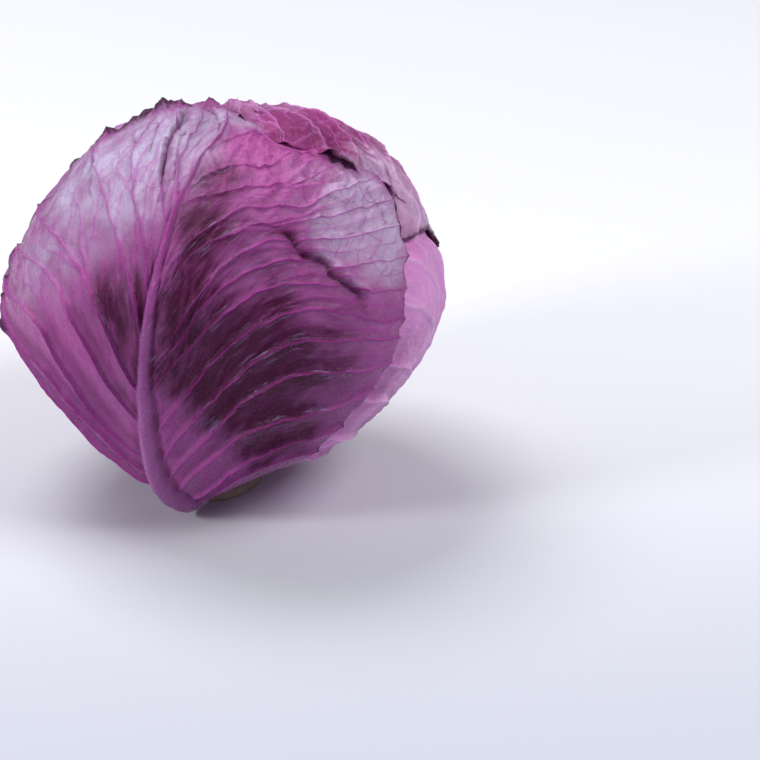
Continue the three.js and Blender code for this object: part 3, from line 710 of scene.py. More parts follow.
front = wrapper("front_leaf", -100, 5, F_MID, F_TIP, (F_EDGE_L, F_EDGE_R), -104, 0.0, 11, 408, 103, F_LEFT, F_RIGHT, rag=(0.5, 8.0), spread=54)
cape = wrapper("back_right_leaf", 60, 20, B_MID, B_TIP, (B_EDGE_L, B_EDGE_R), 60, -1.0, 23, 360, 100, B_LEFT, B_RIGHT, rag=(0.75, 6.0), spread=54)
SL, SR, SK, SU = split(OUT_L), split(OUT_R), split(OUT_K), split(OUT_U)
left = wrapper("left_leaf", 172, 12, [(1, -80), (2, -50), (3, -20), (2, 10), (0, 40), (-1, 66)], [(-1, 66), (0, 80)], SL, 172, 2.6, 37, 300, 84, nveins=9)
right = wrapper("right_leaf", -22, -5, [(4, -62), (9, -42), (12.5, -20), (14, 2), (14.5, 20), (13.5, 42), (11, 60)], [(11, 60), (8, 71)], SR, -22, 2.6, 41, 300, 84, nveins=9, lift=34)
back = wrapper("back_leaf", 115, 0, [(-1, -66), (-3, -40), (-3, -10), (-1, 20), (1, 50), (1, 72)], [(1, 72), (0, 84)], SK, 115, 4.4, 53, 270, 80, nveins=9)
under = wrapper("left_under_leaf", 216, -2, [(0, -66), (2, -40), (3, -10), (2, 20), (0, 50), (0, 72)], [(0, 72), (0, 84)], SU, 216, 6.0, 61, 220, 72, nveins=8)


def crease(x, y, line, half, depth, lip=0.0, side=1.0, cliff=0.0):
    """A furrow along a line, in mm, with a raised lip on one side of it, or one side standing over the other as a cliff."""
    p = curve(line, 40)
    a, b = p[:-1] * K, p[1:] * K
    v = b - a
    q = np.stack([x.ravel() * K, y.ravel() * K], -1)
    best, sgn, tt = np.full(len(q), 1e9), np.zeros(len(q)), np.zeros(len(q))
    for k in range(len(v)):
        w = q - a[k]
        t = np.clip((w @ v[k]) / max(v[k] @ v[k], 1e-9), 0, 1)
        r = w - t[:, None] * v[k]
        d = np.hypot(r[:, 0], r[:, 1])
        m = d < best
        best = np.where(m, d, best)
        sgn = np.where(m, np.sign(v[k][0] * w[:, 1] - v[k][1] * w[:, 0]), sgn)
        tt = np.where(m, (k + t) / len(v), tt)
    ends = smooth(0, 0.18, tt) * smooth(0, 0.18, 1 - tt) * (0.8 + 0.35 * noise(q[:, 0] / 5, q[:, 1] / 5, 77))
    best = best * (1 + 0.3 * noise(q[:, 0] / 4, q[:, 1] / 4, 78))
    out = -depth * np.exp(-(best / half) ** 2) * ends
    if lip:
        out += lip * np.exp(-((best - 1.7 * half) / (1.1 * half)) ** 2) * (sgn * side > 0) * ends
    if cliff:
        s = np.tanh(best * sgn * side / 0.8)
        out += cliff * np.where(s > 0, s * np.exp(-(best / 5.5) ** 2), 0.55 * s * np.exp(-(best / 4.0) ** 2)) * ends
    return out.reshape(x.shape), (best / half + 2.2 * (1 - np.clip(ends, 0, 1)) ** 2).reshape(x.shape), (best * sgn * side).reshape(x.shape)


def billow(x, y, scale, seed):
    """Rounded bulges between sharp little furrows, 0 to 1."""
    wx, wy = x + 0.35 * scale * noise(x / (1.3 * scale), y / (1.3 * scale), seed + 3), y + 0.35 * scale * noise(x / (1.3 * scale), y / (1.3 * scale), seed + 4)
    return np.clip(np.abs(noise(wx / scale, wy / scale, seed)) * 1.5, 0, 1) ** 0.7


def strips(sd, valley, power=(0.6, 1.4), flip=False):
    """The hollow between two side veins, deeper where they stand further apart."""
    u = sd["u"][:, None]
    u = 1 - u if flip else u
    p, q = power
    peak = (p / (p + q)) ** p * (q / (p + q)) ** q
    prof = np.clip(u, 0, 1) ** p * np.clip(1 - u, 0, 1) ** q / peak
    return -valley * sd["gap"] * prof


def edge_waves(sd, seed, size, inner=9.0, long=14.0):
    """Ruffles that grow towards the margin, in mm."""
    e = np.clip(1 - sd["rim"] / inner, 0, 1)
    x, y = sd["x"] * K, sd["y"] * K
    w = noise(x / long, y / long, seed) + 0.45 * noise(x / (0.45 * long), y / (0.45 * long), seed + 1)
    return size * e ** 1.6 * w


def relief_front(leaf, sd):
    x, y = sd["x"], sd["y"]
    L = sd["sign"] < 0
    h = sd["rib"] + sd["ridge"] * (1 - smooth(1.3, 0.5, sd["mq"])) + sd["cross"] * (0.3 + 1.1 * smooth(-20, 40, y))
    h -= (1.0 if not L else 0.55) * np.exp(-((sd["mq"] - 1.45) / 0.55) ** 2) * np.interp(sd["s"], [0, 0.1, 0.6, 1], [0, 1.2, 0.7, 0.2])[:, None]
    low = blob(x, y, -45, -15, 40, 42)
    if L:
        h += strips(sd, 0.058, (0.55, 1.5)) * (0.3 + 0.9 * np.clip(low, 0, 1)) * smooth(0.02, 0.2, sd["c"])[None, :]
        h += strips(sd, 0.02, (1, 1)) * (1 - low)
    else:
        h += strips(sd, 0.075, (0.55, 1.3)) * smooth(0.03, 0.25, sd["c"])[None, :] * (0.45 + 0.65 * blob(x, y, 15, 0, 40, 60))
        h += 0.16 * streaks(sd, 311, 5.0, 2.2) * smooth(0.05, 0.2, sd["c"])[None, :]
    # puckers
    m = K
    up_left = blob(x, y, -25, 75, 30, 26)
    h += 1.5 * up_left * (billow(x * m, y * m, 13, 5) - 0.5) + 0.45 * up_left * (billow(x * m, y * m, 5.5, 55) - 0.5)
    h += 0.75 * blob(x, y, -45, 40, 30, 30) * (billow(x * m, y * m, 15, 6) - 0.5) + 0.25 * blob(x, y, -45, 30, 30, 40) * (billow(x * m, y * m, 5.5, 56) - 0.5)
    up_right = blob(x, y, 40, 58, 40, 32)
    h += 1.1 * up_right * (billow(x * m, y * m, 11, 7) - 0.5) + 0.55 * up_right * (billow(x * m, y * m * 1.6, 5.5, 8) - 0.5)
    h += 0.6 * blob(x, y, 45, 30, 28, 34) * (billow(x * m, y * m, 8, 9) - 0.5) + 0.3 * blob(x, y, 20, 10, 40, 50) * (billow(x * m * 0.8, y * m * 1.5, 6.5, 57) - 0.5)
    for size, tilt, line, seed, where in FACETS:
        w = sum(a * blob(x, y, *b) for a, b in where)
        h += np.clip(w, 0, 1) * facets(x * m, y * m, size, seed, tilt, line)[0]
    h += 0.30 * fbm(x * m / 6, y * m / 6, 12) * (0.4 + 0.6 * smooth(-60, 0, y)) + 0.5 * fbm(x * m / 26, y * m / 26, 13, 2)
    # folds
    for line, half, depth, lip, side, cliff in CREASES:
        near = blob(x, y, line[len(line) // 2][0], line[len(line) // 2][1], 30, 34) > 0.02
        if near.any():
            h[near] += crease(x[near], y[near], line, half, depth, lip, side, cliff)[0]
    t = blob(x, y, 3, 57, 7, 8)
    h += 0.35 * t * np.sin((x * 0.75 + y * 0.45) * 2.6 + 1.5 * noise(x / 4, y / 4, 31))
    h += edge_waves(sd, 40, 1.4, 9.0, 13.0) * smooth(-50, 0, y)
    edge = np.exp(-(sd["rim"] / 4.0) ** 2)
    h += edge * (3.6 * blob(x, y, -69, 63, 4.5, 4) + 2.2 * blob(x, y, -80, 19, 4, 4) + 2.4 * blob(x, y, -75, -2, 5, 6))
    top = blob(x, y, -34, 92, 38, 22)
    h += top * np.exp(-(sd["rim"] / 5.0) ** 2) * (2.9 + 2.6 * noise(x * m / 9, y * m / 9, 46) + 0.9 * noise(x * m / 4.5, y * m / 4.5, 47))
    return h


FACETS = [  # size in mm, tilt, height of the lines, seed, where
    (12.5, 0.22, 0.22, 401, [(1.0, (44, 42, 24, 20)), (0.75, (24, 66, 34, 14))]),
    (6.0, 0.10, 0.05, 402, [(0.8, (46, 44, 26, 24)), (0.7, (22, 64, 34, 18)), (0.35, (26, 14, 30, 30))]),
    (15.0, 0.10, 0.15, 403, [(1.0, (-38, 62, 34, 32)), (0.4, (-50, 20, 26, 26))]),
    (6.5, 0.05, 0.10, 404, [(0.9, (-34, 66, 34, 32)), (0.5, (-48, 24, 30, 30))]),
]

CREASES = [  # line, half width, depth, lip, side of the lip, cliff
    (BIG, 1.5, 2.4, 0.9, 1, 2.2),
    ([(23.5, 40.0), (17, 41.8), (9, 41.2)], 0.8, 0.6, 0.2, 1, 0.4),
    ([(-10.4, 48.1), (-12.3, 57.3), (-13.2, 64.3), (-13.6, 72.4), (-14.2, 80.4), (-17, 92)], 0.9, 1.7, 0.4, 1, 2.2),
    ([(-10, 78), (-9.6, 66), (-8.0, 57), (-7.2, 51)], 1.0, 0.7, 0.3, -1, 0.7),
    ([(-22.6, 84), (-21.1, 76.4), (-20.4, 68.9), (-19.1, 62.2)], 0.9, 0.8, 0.2, 1, 0.8),
    ([(-31.1, 75.3), (-29.5, 70.3), (-26.0, 67.6), (-24.7, 61.3)], 0.9, 0.9, 0.3, 1, 0.8),
    ([(-7.2, 93.1), (-1.8, 86.9), (2.4, 79.1), (2.6, 71.5)], 1.0, 1.0, 0.3, 1, 0.8),
    ([(-42, 60), (-39, 50), (-34, 46)], 1.0, 0.6, 0.2, 1, 0.5),
    ([(-54, 68), (-46, 62), (-43, 54)], 1.0, 0.6, 0.2, -1, 0.6),
    ([(27.7, 21.8), (33.6, 18.9), (39.4, 15.6), (45.0, 12.4)], 0.8, -0.9, 0, 1, 0),
    ([(30.0, 16.2), (35.1, 14.2), (40.5, 11.2)], 0.8, -0.8, 0, 1, 0),
    ([(52, 54), (57, 46), (60, 38)], 1.1, 0.7, 0.2, 1, 0.6),
    ([(22, 71), (32, 66), (44, 64)], 1.1, 0.6, 0.3, 1, 0.7),
    ([(12, 89), (20, 82), (31, 79)], 1.2, 0.7, 0.3, 1, 0.7),
    ([(36, 50), (44, 47), (50, 48)], 1.0, 0.4, 0.2, 1, 0.6),
    ([(30, 57), (38, 53.5), (47, 55)], 1.0, 0.4, 0.2, -1, 0.6),
]


def streaks(sd, seed, along=9.0, across=1.6):
    """Uneven colour that follows the strips between the side veins, about -1 to 1."""
    c = sd["c"][None, :] * 70.0 / along
    u = (sd["u"] + sd["i"] * 5.37)[:, None] * across
    return noise(c + 0 * u, u + 0 * c, seed) + 0.6 * noise(2.3 * c + 0 * u, 2.1 * u + 0 * c, seed + 1) + 0.35 * noise(5 * c + 0 * u, 4.0 * u + 0 * c, seed + 2)


LEE = {0: 0.75, 2: 0.85, 3: 0.4, 4: 0.45, 5: 0.35, 6: 0.35}  # shade in the hollow side of a fold


def looks_front(leaf, sd):
    x, y = sd["x"], sd["y"]
    st = streaks(sd, 301)
    n = fbm(x / 16, y / 16, 71, 3)
    # Dark plum skin. The big patch low on the right is partly painted shade, and the spot high in the hollow beside the
    # top fold is painted shade from that fold.
    dark = (1.2 * blob(x, y, 16, -2, 30, 34) + 0.6 * blob(x, y, -18, 17, 11, 12) + 0.1 * blob(x, y, -19, -2, 8, 13, 8) + 0.6 * blob(x, y, 3, 40, 7, 10) + 0.7 * blob(x, y, 6, 56, 11, 8)
            + 0.4 * blob(x, y, 0, 22, 6, 9) - 0.36 * blob(x, y, -7, -27, 10, 22, -22) + 0.4 * blob(x, y, 26, -36, 18, 14) - 0.3 * blob(x, y, 34, 17, 8, 12) - 0.25 * blob(x, y, 9, -36, 9, 14) + 0.35 * blob(x, y, 26, 20, 5, 6) - 0.2 * blob(x, y, 17, 22, 6, 6) + 0.6 * blob(x, y, -5, 77, 7, 11))
    dark = smooth(0.12, 0.98, dark + 0.13 * n + 0.26 * st * np.clip(0.25 + dark, 0, 1))
    bloom = (0.72 * blob(x, y, -47, 56, 32, 27) + 1.35 * blob(x, y, 50, 43, 16, 17) + 0.75 * blob(x, y, -20, 68, 16, 25) + 0.5 * blob(x, y, -4, 63, 9, 13) + 0.32 * blob(x, y, -50, 18, 22, 16) + 0.3 * blob(x, y, 14, 88, 26, 12) + 0.6 * blob(x, y, 4, 82, 12, 9)
             + 0.2 * blob(x, y, 40, 58, 24, 8) + 0.5 * blob(x, y, 8, 56, 10, 8) + 0.45 * blob(x, y, 60, 29, 9, 10) )
    bloom = smooth(0.1, 1.04, bloom + (0.22 * n + 0.18 * st) * np.clip(bloom * 2, 0, 1) - 0.45 * dark)
    pink = np.clip(0.9 * blob(x, y, 26, 66, 30, 18) + 0.8 * blob(x, y, -42, 4, 22, 17) + 0.3 * blob(x, y, -18, -30, 20, 30) + 0.9 * blob(x, y, 52, 36, 20, 18) - 0.12 * n + 0.08 * st, 0, 1)
    netw = np.clip(0.12 + 0.9 * blob(x, y, 46, 44, 26, 24) + 0.6 * blob(x, y, 22, 64, 34, 16) + 0.25 * blob(x, y, -40, 60, 36, 36), 0, 1)
    u = sd["u"][:, None]
    side = 1.0 if sd["sign"] < 0 else 0.7
    shade = side * np.clip(1 - np.abs(u - 0.28) / 0.34, 0, 1) * smooth(3, 9, sd["gap"]) * (0.25 + 0.75 * blob(x, y, -40, -20, 46, 46))
    fold, lee, lip_highlight = 3 + 0 * x, 0 * x, 0 * x
    for k, (line, half, depth, lip, sgn, cliff) in enumerate(CREASES):
        near = blob(x, y, line[len(line) // 2][0], line[len(line) // 2][1], 30, 34) > 0.02
        if depth > 0 and near.any():
            m, s = crease(x[near], y[near], line, half * 0.85, depth, lip, sgn)[1:]
            fold[near] = np.minimum(fold[near], m + 0.5 * max(0.0, 1.2 - depth))
            ends = np.exp(-(m / 9.0) ** 2)
            lee[near] = np.maximum(lee[near], LEE.get(k, 0.25) * (s < 0) * np.exp(s / (8.0 if k == 2 else 3.6 if k in LEE else 1.6)) * ends)
            # painted highlight along the raised lip of each fold, added to the bloom below
            lip_highlight[near] = np.maximum(lip_highlight[near], (s > 0) * np.exp(-((s - 2.4) / 1.5) ** 2) * ends * min(1.0, depth / 2))
    clear = 1.0 if sd["sign"] < 0 else 0.08 + 0.92 * smooth(0.05, 0.46, sd["c"])[None, :]
    # painted shade in the grooves beside the midrib, added to the dark below
    beside = np.exp(-((sd["mq"] - 1.35) / 0.5) ** 2) * (0.32 if sd["sign"] > 0 else 0.25)
    return dict(dark=np.clip(dark + 0.5 * shade + 0.6 * lee + beside * smooth(70, 20, y), 0, 1.6), bloom=np.clip(bloom * (1 - 0.55 * lee) + 0.3 * lip_highlight * (bloom > 0.15), 0, 1.3), pink=pink, fold=fold, clear=clear, netw=netw * (1 - 0.7 * np.clip(dark, 0, 1)),
                rim=(sd["rim"] * (1 - 0.74 * blob(x, y, -42, 86, 44, 26)) - 0.4 * blob(x, y, -42, 86, 44, 26)) * (1 - 0.5 * blob(x, y, -78, 8, 8, 20)) + 1.5 * blob(x, y, 62, -10, 20, 50))


def relief_cape(leaf, sd):
    x, y = sd["x"], sd["y"]
    h = sd["rib"] + sd["ridge"] + sd["cross"] * 0.8
    h += strips(sd, 0.05, (0.8, 1.1)) * smooth(0.03, 0.25, sd["c"])[None, :]
    m = K
    h += 0.9 * (billow(x * m, y * m, 12, 15) - 0.5) * smooth(-60, 0, y) + 0.35 * (billow(x * m, y * m, 5.5, 16) - 0.5)
    h += 0.5 * fbm(x * m / 24, y * m / 24, 18, 2)
    h += edge_waves(sd, 44, 1.5, 8.0, 10.0) * smooth(-60, 0, y)
    # long hollows and ribs that run over the shoulder
    s = np.sin((0.35 * x + 0.95 * y) * 0.42 + 1.6 * noise(x / 22, y / 22, 19))
    h += 0.9 * s * blob(x, y, -20, 30, 34, 30)
    # part of the margin clings to the leaf under it, and a torn corner stands up
    h -= 1.9 * cling(x, y) * np.exp(-(sd["rim"] / 7.0) ** 2)
    h += np.exp(-(sd["rim"] / 5.0) ** 2) * (1.9 * blob(x, y, -42.5, 57, 6, 4) + 1.5 * blob(x, y, -63, 22, 5, 6))
    h += 0.8 * facets(x * m, y * m, 10.0, 411, 0.10, 0.2)[0] * blob(x, y, -20, 40, 44, 34)
    h += 0.45 * noise((0.655 * x + 0.757 * y) / 16, (0.757 * x - 0.655 * y) / 1.9, 352) * blob(x, y, -44, 38, 14, 16)
    return h


def cling(x, y):
    return np.clip(smooth(-41.5, -37, x) * smooth(28, 42, y) + smooth(-44.5, -47.5, x) * smooth(28.5, 32, y) * smooth(52, 48, y), 0, 1)


def looks_cape(leaf, sd):
    x, y = sd["x"], sd["y"]
    n, st = fbm(x / 20, y / 20, 75, 4), streaks(sd, 351, 12.0, 1.3)
    pink = np.clip(0.6 + 0.3 * n - 0.35 * st, 0, 1.2)
    run, over = 0.655 * x + 0.757 * y, 0.757 * x - 0.655 * y
    comb = noise(run / 16, over / 1.5, 352) + 0.6 * noise(run / 9, over / 0.8, 353)
    side = blob(x, y, -44, 38, 14, 16)
    bloom = np.clip(0.8 * blob(x, y, -58, 22, 14, 14) - 0.9 * blob(x, y, -28, 53, 9, 13) + 0.3 * blob(x, y, 0, 52, 22, 9) + 0.75 * blob(x, y, -44, 41, 9, 9) + 0.6 * side * comb + 0.4 * blob(x, y, -24, 24, 24, 10) + (0.04 + 0.22 * n + 0.1 * st) * (1 - side), 0, 1)
    pink = np.clip(pink + 0.7 * side * comb, 0, 1.2)
    dark = np.clip(0.16 + 0.2 * n - 0.2 * st + 0.3 * blob(x, y, -25, 8, 30, 8) + 0.3 * blob(x, y, -34, 56, 9, 8) + 0.3 * blob(x, y, 20, -50, 50, 36), 0, 1)
    return dict(dark=dark, bloom=bloom, pink=pink, rim=sd["rim"] + 6.0 * cling(x, y), netw=np.clip(0.15 + 0.5 * blob(x, y, -20, 40, 44, 34), 0, 1))


def relief_plain(seed, pucker=0.8, valley=0.045, wave=1.3):
    def f(leaf, sd):
        x, y = sd["x"], sd["y"]
        h = sd["rib"] + sd["ridge"] + sd["cross"] * 0.8
        h += strips(sd, valley, (0.65, 1.35)) * smooth(0.03, 0.25, sd["c"])[None, :]
        h += pucker * (billow(x * K, y * K, 13, seed) - 0.5) * smooth(-70, 10, y) + 0.35 * (billow(x * K, y * K, 6, seed + 1) - 0.5)
        h += 0.5 * fbm(x * K / 26, y * K / 26, seed + 2, 2)
        h += edge_waves(sd, seed + 3, wave, 9.0, 12.0) * smooth(-60, 0, y)
        return h
    return f


def looks_plain(seed, pink0=0.35, dark0=0.35, bloom0=0.4):
    def f(leaf, sd):
        x, y = sd["x"], sd["y"]
        a, b = fbm(x / 22, y / 22, seed, 3), fbm(x / 30, y / 30, seed + 9, 3)
        u = sd["u"][:, None]
        shade = np.clip(1 - np.abs(u - 0.3) / 0.36, 0, 1) * smooth(3, 9, sd["gap"])
        low = smooth(30, -60, y)
        return dict(dark=np.clip(dark0 + 0.35 * a + 0.25 * shade * (0.4 + 0.6 * low) + 0.3 * blob(x, y, 5, -10, 40, 40), 0, 1.2),
                    bloom=np.clip(bloom0 + 0.45 * b + 0.35 * smooth(-10, 60, y), 0, 1.2), pink=np.clip(pink0 - 0.3 * a + 0.2 * low, 0, 1.2))
    return f


def looks_right(leaf, sd):
    x, y = sd["x"], sd["y"]
    n = fbm(x / 20, y / 20, 88, 3)
    out = looks_plain(91, 0.85, 0.1, 0.08)(leaf, sd)
    top = blob(x, y, 8, 30, 26, 26)
    out["dark"] = np.clip(out["dark"] * (1 - 0.9 * top), 0, 1)
    comb = noise(x / 2.6, y / 34, 89) + 0.7 * noise(x / 1.4, y / 20, 90)
    out["pink"] = np.clip(out["pink"] + (0.9 + 0.5 * comb) * top, 0, 1.5)
    out["bloom"] = np.clip(out["bloom"] * (1 - 0.6 * top) + 0.5 * top * np.clip(comb - 0.15, 0, 1), 0, 1)
    return out


# ------------------------------------------------------------------ materials
def rgb(h):
    v = [int(h[i:i + 2], 16) / 255 for i in (1, 3, 5)]
    return tuple(c / 12.92 if c <= 0.04045 else ((c + 0.055) / 1.055) ** 2.4 for c in v) + (1.0,)


class Nodes:
    def __init__(self, name):
        self.m = bpy.data.materials.new(name)
        self.m.use_nodes = True
        self.t = self.m.node_tree
        self.bsdf = next(n for n in self.t.nodes if n.type == "BSDF_PRINCIPLED")

    def put(self, socket, v):
        if isinstance(v, bpy.types.NodeSocket):
            self.t.links.new(v, socket)
        else:
            socket.default_value = v

    def attr(self, name, out="Fac"):
        n = self.t.nodes.new("ShaderNodeAttribute")
        n.attribute_name = name
        return n.outputs[out]

    def math(self, op, a, b=0.0, c=0.0, clamp=False):
        n = self.t.nodes.new("ShaderNodeMath")
        n.operation, n.use_clamp = op, clamp
        for k, v in enumerate((a, b, c)):
            self.put(n.inputs[k], v)
        return n.outputs[0]

    def mix(self, f, a, b, mode="MIX"):
        n = self.t.nodes.new("ShaderNodeMix")
        n.data_type, n.blend_type, n.clamp_factor = "RGBA", mode, True
        self.put(n.inputs[0], f)
        self.put(n.inputs[6], a)
        self.put(n.inputs[7], b)
        return n.outputs[2]

    def noise(self, vec, scale, detail=3.0, rough=0.55, distort=0.0, out="Fac"):
        n = self.t.nodes.new("ShaderNodeTexNoise")
        self.put(n.inputs["Vector"], vec)
        n.inputs["Scale"].default_value, n.inputs["Detail"].default_value = scale, detail
        n.inputs["Roughness"].default_value, n.inputs["Distortion"].default_value = rough, distort
        return n.outputs[out]

    def cells(self, vec, scale, feature="DISTANCE_TO_EDGE"):
        n = self.t.nodes.new("ShaderNodeTexVoronoi")
        n.feature = feature
        self.put(n.inputs["Vector"], vec)
        n.inputs["Scale"].default_value = scale
        n.inputs["Randomness"].default_value = 0.9
        return n.outputs["Distance"]

    def bell(self, v, k, power=2):
        """exp(-(k v)^power)"""
        w = self.math("MULTIPLY", v, k)
        w = self.math("MULTIPLY", w, w)
        return self.math("EXPONENT", self.math("MULTIPLY", self.math("MULTIPLY", w, w) if power == 4 else w, -1.0))

    def span(self, v, a, b, c=0.0, d=1.0):
        n = self.t.nodes.new("ShaderNodeMapRange")
        n.interpolation_type = "SMOOTHSTEP"
        self.put(n.inputs[0], v)
        for k, x in enumerate((a, b, c, d)):
            n.inputs[k + 1].default_value = x
        return n.outputs[0]

    def vec(self, op, a, b=(0, 0, 0), scale=1.0):
        n = self.t.nodes.new("ShaderNodeVectorMath")
        n.operation = op
        self.put(n.inputs[0], a)
        if op == "SCALE":
            n.inputs["Scale"].default_value = scale
        else:
            self.put(n.inputs[1], b)
        return n.outputs[0]

    def bump(self, height, strength, distance):
        n = self.t.nodes.new("ShaderNodeBump")
        n.inputs["Strength"].default_value, n.inputs["Distance"].default_value = strength, distance
        self.put(n.inputs["Height"], height)
        return n.outputs[0]


def leaf_material(name, mid="#95528c", pink="#b35a9c", dark="#450b30", bloom="#bab0cc", warm="#c4a7ca", vein="#a63c96", pale_vein="#ab66ad", deep_vein="#7a2b6b", rib="#b080b2", rim="#2c1526"):
    k = Nodes(name)
    flat, strip = k.attr("flat", "Vector"), k.attr("strip", "Vector")
    wob = k.vec("SCALE", k.vec("SUBTRACT", k.noise(flat, 0.12, 2.0, out="Color"), (0.5, 0.5, 0.5)), scale=5.0)
    warped = k.vec("ADD", flat, wob)
    net1, net2 = k.cells(warped, 0.085), k.cells(warped, 0.24)
    thick = k.span(k.noise(flat, 0.16, 2.0), 0.36, 0.62)
    line1, line2 = k.math("MULTIPLY", k.span(net1, 0.0, 0.045, 1.0, 0.0), thick), k.span(net2, 0.0, 0.09, 1.0, 0.0)
    broad, fine, grain = k.noise(flat, 0.055, 4.0), k.noise(flat, 0.45, 4.0, 0.62), k.noise(flat, 2.6, 3.0, 0.6)
    # brushed marks that run along the veins, and little ticks across them
    brush = k.noise(k.vec("MULTIPLY", strip, (0.16, 1.0, 0.0)), 1.0, 4.0, 0.65)
    part = k.t.nodes.new("ShaderNodeSeparateXYZ")
    k.put(part.inputs[0], strip)
    close = k.math("MINIMUM", part.outputs[1], part.outputs[2])
    tick = k.math("SINE", k.math("MULTIPLY_ADD", fine, 16.0, k.math("MULTIPLY", part.outputs[0], 6.6)))
    A = {a: k.attr(a) for a in ("q", "mq", "cq", "clear", "netw", "fold", "rim", "dark", "bloom", "pink")}
    A["vein"] = k.math("MULTIPLY", k.bell(A["q"], 1.55), A["clear"])
    A["rib"] = k.bell(A["mq"], 0.9, 4)
    A["net"] = k.bell(A["cq"], 1.25)
    beside = k.math("MULTIPLY", k.span(close, 0.4, 0.7), k.span(close, 2.3, 0.9))
    ticks = k.math("MULTIPLY", k.math("MULTIPLY", k.span(tick, 0.3, 0.95), beside), k.span(k.noise(flat, 0.13, 3.0), 0.50, 0.66))
    place = k.t.nodes.new("ShaderNodeSeparateXYZ")
    k.put(place.inputs[0], flat)
    high = k.span(place.outputs[1], 14.0, 58.0)
    mottle = k.math("SUBTRACT", broad, 0.5)
    speck = k.math("SUBTRACT", fine, 0.5)
    brushed = k.math("SUBTRACT", brush, 0.5)
    c = k.mix(k.math("ADD", A["pink"], k.math("MULTIPLY_ADD", mottle, 0.8, k.math("MULTIPLY", brushed, 0.5)), clamp=True), rgb(mid), rgb(pink))
    deep = k.math("MULTIPLY_ADD", brushed, 0.9, k.math("MULTIPLY_ADD", mottle, 0.6, k.math("MULTIPLY", speck, 0.3)))
    c = k.mix(k.math("MULTIPLY", k.math("ADD", A["dark"], deep, clamp=True), 0.96), c, rgb(dark))
    # bluish streaks over the dark skin: partly the wax it keeps, partly a painted sheen of reflected light
    sheen = k.math("MULTIPLY", k.math("MULTIPLY", A["dark"], k.span(brush, 0.56, 0.74), clamp=True), k.span(k.noise(flat, 0.075, 2.0), 0.5, 0.66))
    c = k.mix(k.math("MULTIPLY", sheen, 0.30), c, rgb("#8f86ac"))
    # short pale strokes beside the veins and smooth bluish patches between them: painted glints and painted sheen of
    # reflected light on the glossy skin, partly rubbed wax
    glint_noise = k.noise(k.vec("MULTIPLY", strip, (0.17, 1.25, 0.0)), 1.0, 3.0, 0.6)
    where = k.math("MULTIPLY", k.span(A["dark"], 0.12, 0.55), k.span(k.noise(flat, 0.075, 3.0), 0.42, 0.54), clamp=True)
    glint_strokes = k.math("MULTIPLY", k.math("MULTIPLY", k.span(glint_noise, 0.575, 0.64), k.span(close, 4.6, 1.8)), where)
    sheen_patches = k.math("MULTIPLY", k.span(k.noise(k.vec("MULTIPLY", strip, (0.11, 0.30, 0.0)), 1.0, 2.0, 0.5), 0.58, 0.72), where)
    c = k.mix(k.math("MULTIPLY", sheen_patches, 0.30), c, rgb("#8a7ba0"))
    c = k.mix(k.math("MULTIPLY", glint_strokes, 0.55), c, rgb("#a89ac4"))
    waxy = k.math("MULTIPLY", A["bloom"], k.math("ADD", 0.88, k.math("MULTIPLY_ADD", mottle, 1.1, k.math("MULTIPLY_ADD", brushed, 0.5, k.math("MULTIPLY", speck, 0.7)))), clamp=True)
    c = k.mix(waxy, c, k.mix(A["pink"], rgb(bloom), rgb(warm)))
    lines = k.mix(A["bloom"], k.mix(k.math("MULTIPLY", A["dark"], 0.72, clamp=True), rgb(vein), rgb(deep_vein)), rgb(pale_vein))
    light = k.math("SUBTRACT", 1.0, k.math("MULTIPLY", A["dark"], 0.85), clamp=True)
    c = k.mix(k.math("MULTIPLY", k.math("MULTIPLY", line2, k.math("MULTIPLY_ADD", A["netw"], 0.09, 0.05)), light), c, lines)
    c = k.mix(k.math("MULTIPLY", k.math("MULTIPLY", line1, k.math("MULTIPLY_ADD", A["netw"], 0.5, 0.12)), light), c, lines)
    c = k.mix(k.math("MULTIPLY", k.math("MULTIPLY", A["net"], 0.65), k.math("MULTIPLY_ADD", light, 0.8, 0.2)), c, lines)
    c = k.mix(k.math("MULTIPLY", A["vein"], 0.9), c, lines)
    c = k.mix(k.math("MULTIPLY", A["rib"], k.math("MULTIPLY_ADD", fine, 0.5, 0.5)), c, k.mix(k.math("ADD", k.math("MULTIPLY_ADD", A["dark"], 0.25, 0.40), k.math("MULTIPLY", high, 0.5), clamp=True), rgb(rib), rgb(vein)))
    # pale painted highlights on the little wrinkles across the veins
    c = k.mix(k.math("MULTIPLY", ticks, 0.22), c, rgb("#b9a6cc"))
    c = k.mix(k.math("MULTIPLY", k.math("SUBTRACT", grain, 0.5, clamp=True), 0.5), c, rgb(dark))
    # painted shade in the bottom of the folds
    c = k.mix(k.math("MULTIPLY", k.bell(A["fold"], 1.1), 0.66), c, rgb("#430d32"))
    edge = k.span(k.math("ADD", A["rim"], k.math("MULTIPLY", speck, 3.2)), 0.35, 2.4, 0.85, 0.0)
    c = k.mix(edge, c, rgb(rim))
    k.put(k.bsdf.inputs["Base Color"], c)
    r = k.math("MULTIPLY_ADD", fine, 0.24, 0.16)
    r = k.math("ADD", r, k.math("MULTIPLY", A["bloom"], 0.12))
    k.put(k.bsdf.inputs["Roughness"], r)
    k.bsdf.inputs["Specular IOR Level"].default_value = 0.13
    hgt = k.math("MULTIPLY_ADD", line1, k.math("MULTIPLY_ADD", A["netw"], 0.28, 0.12), k.math("MULTIPLY", line2, k.math("MULTIPLY_ADD", A["netw"], 0.08, 0.07)))
    hgt = k.math("ADD", hgt, k.math("MULTIPLY_ADD", fine, 0.5, k.math("MULTIPLY", grain, 0.16)))
    hgt = k.math("ADD", hgt, k.math("MULTIPLY_ADD", ticks, 0.5, k.math("MULTIPLY", brush, 0.45)))
    k.put(k.bsdf.inputs["Normal"], k.bump(hgt, 0.8, 0.0008))
    return k.m


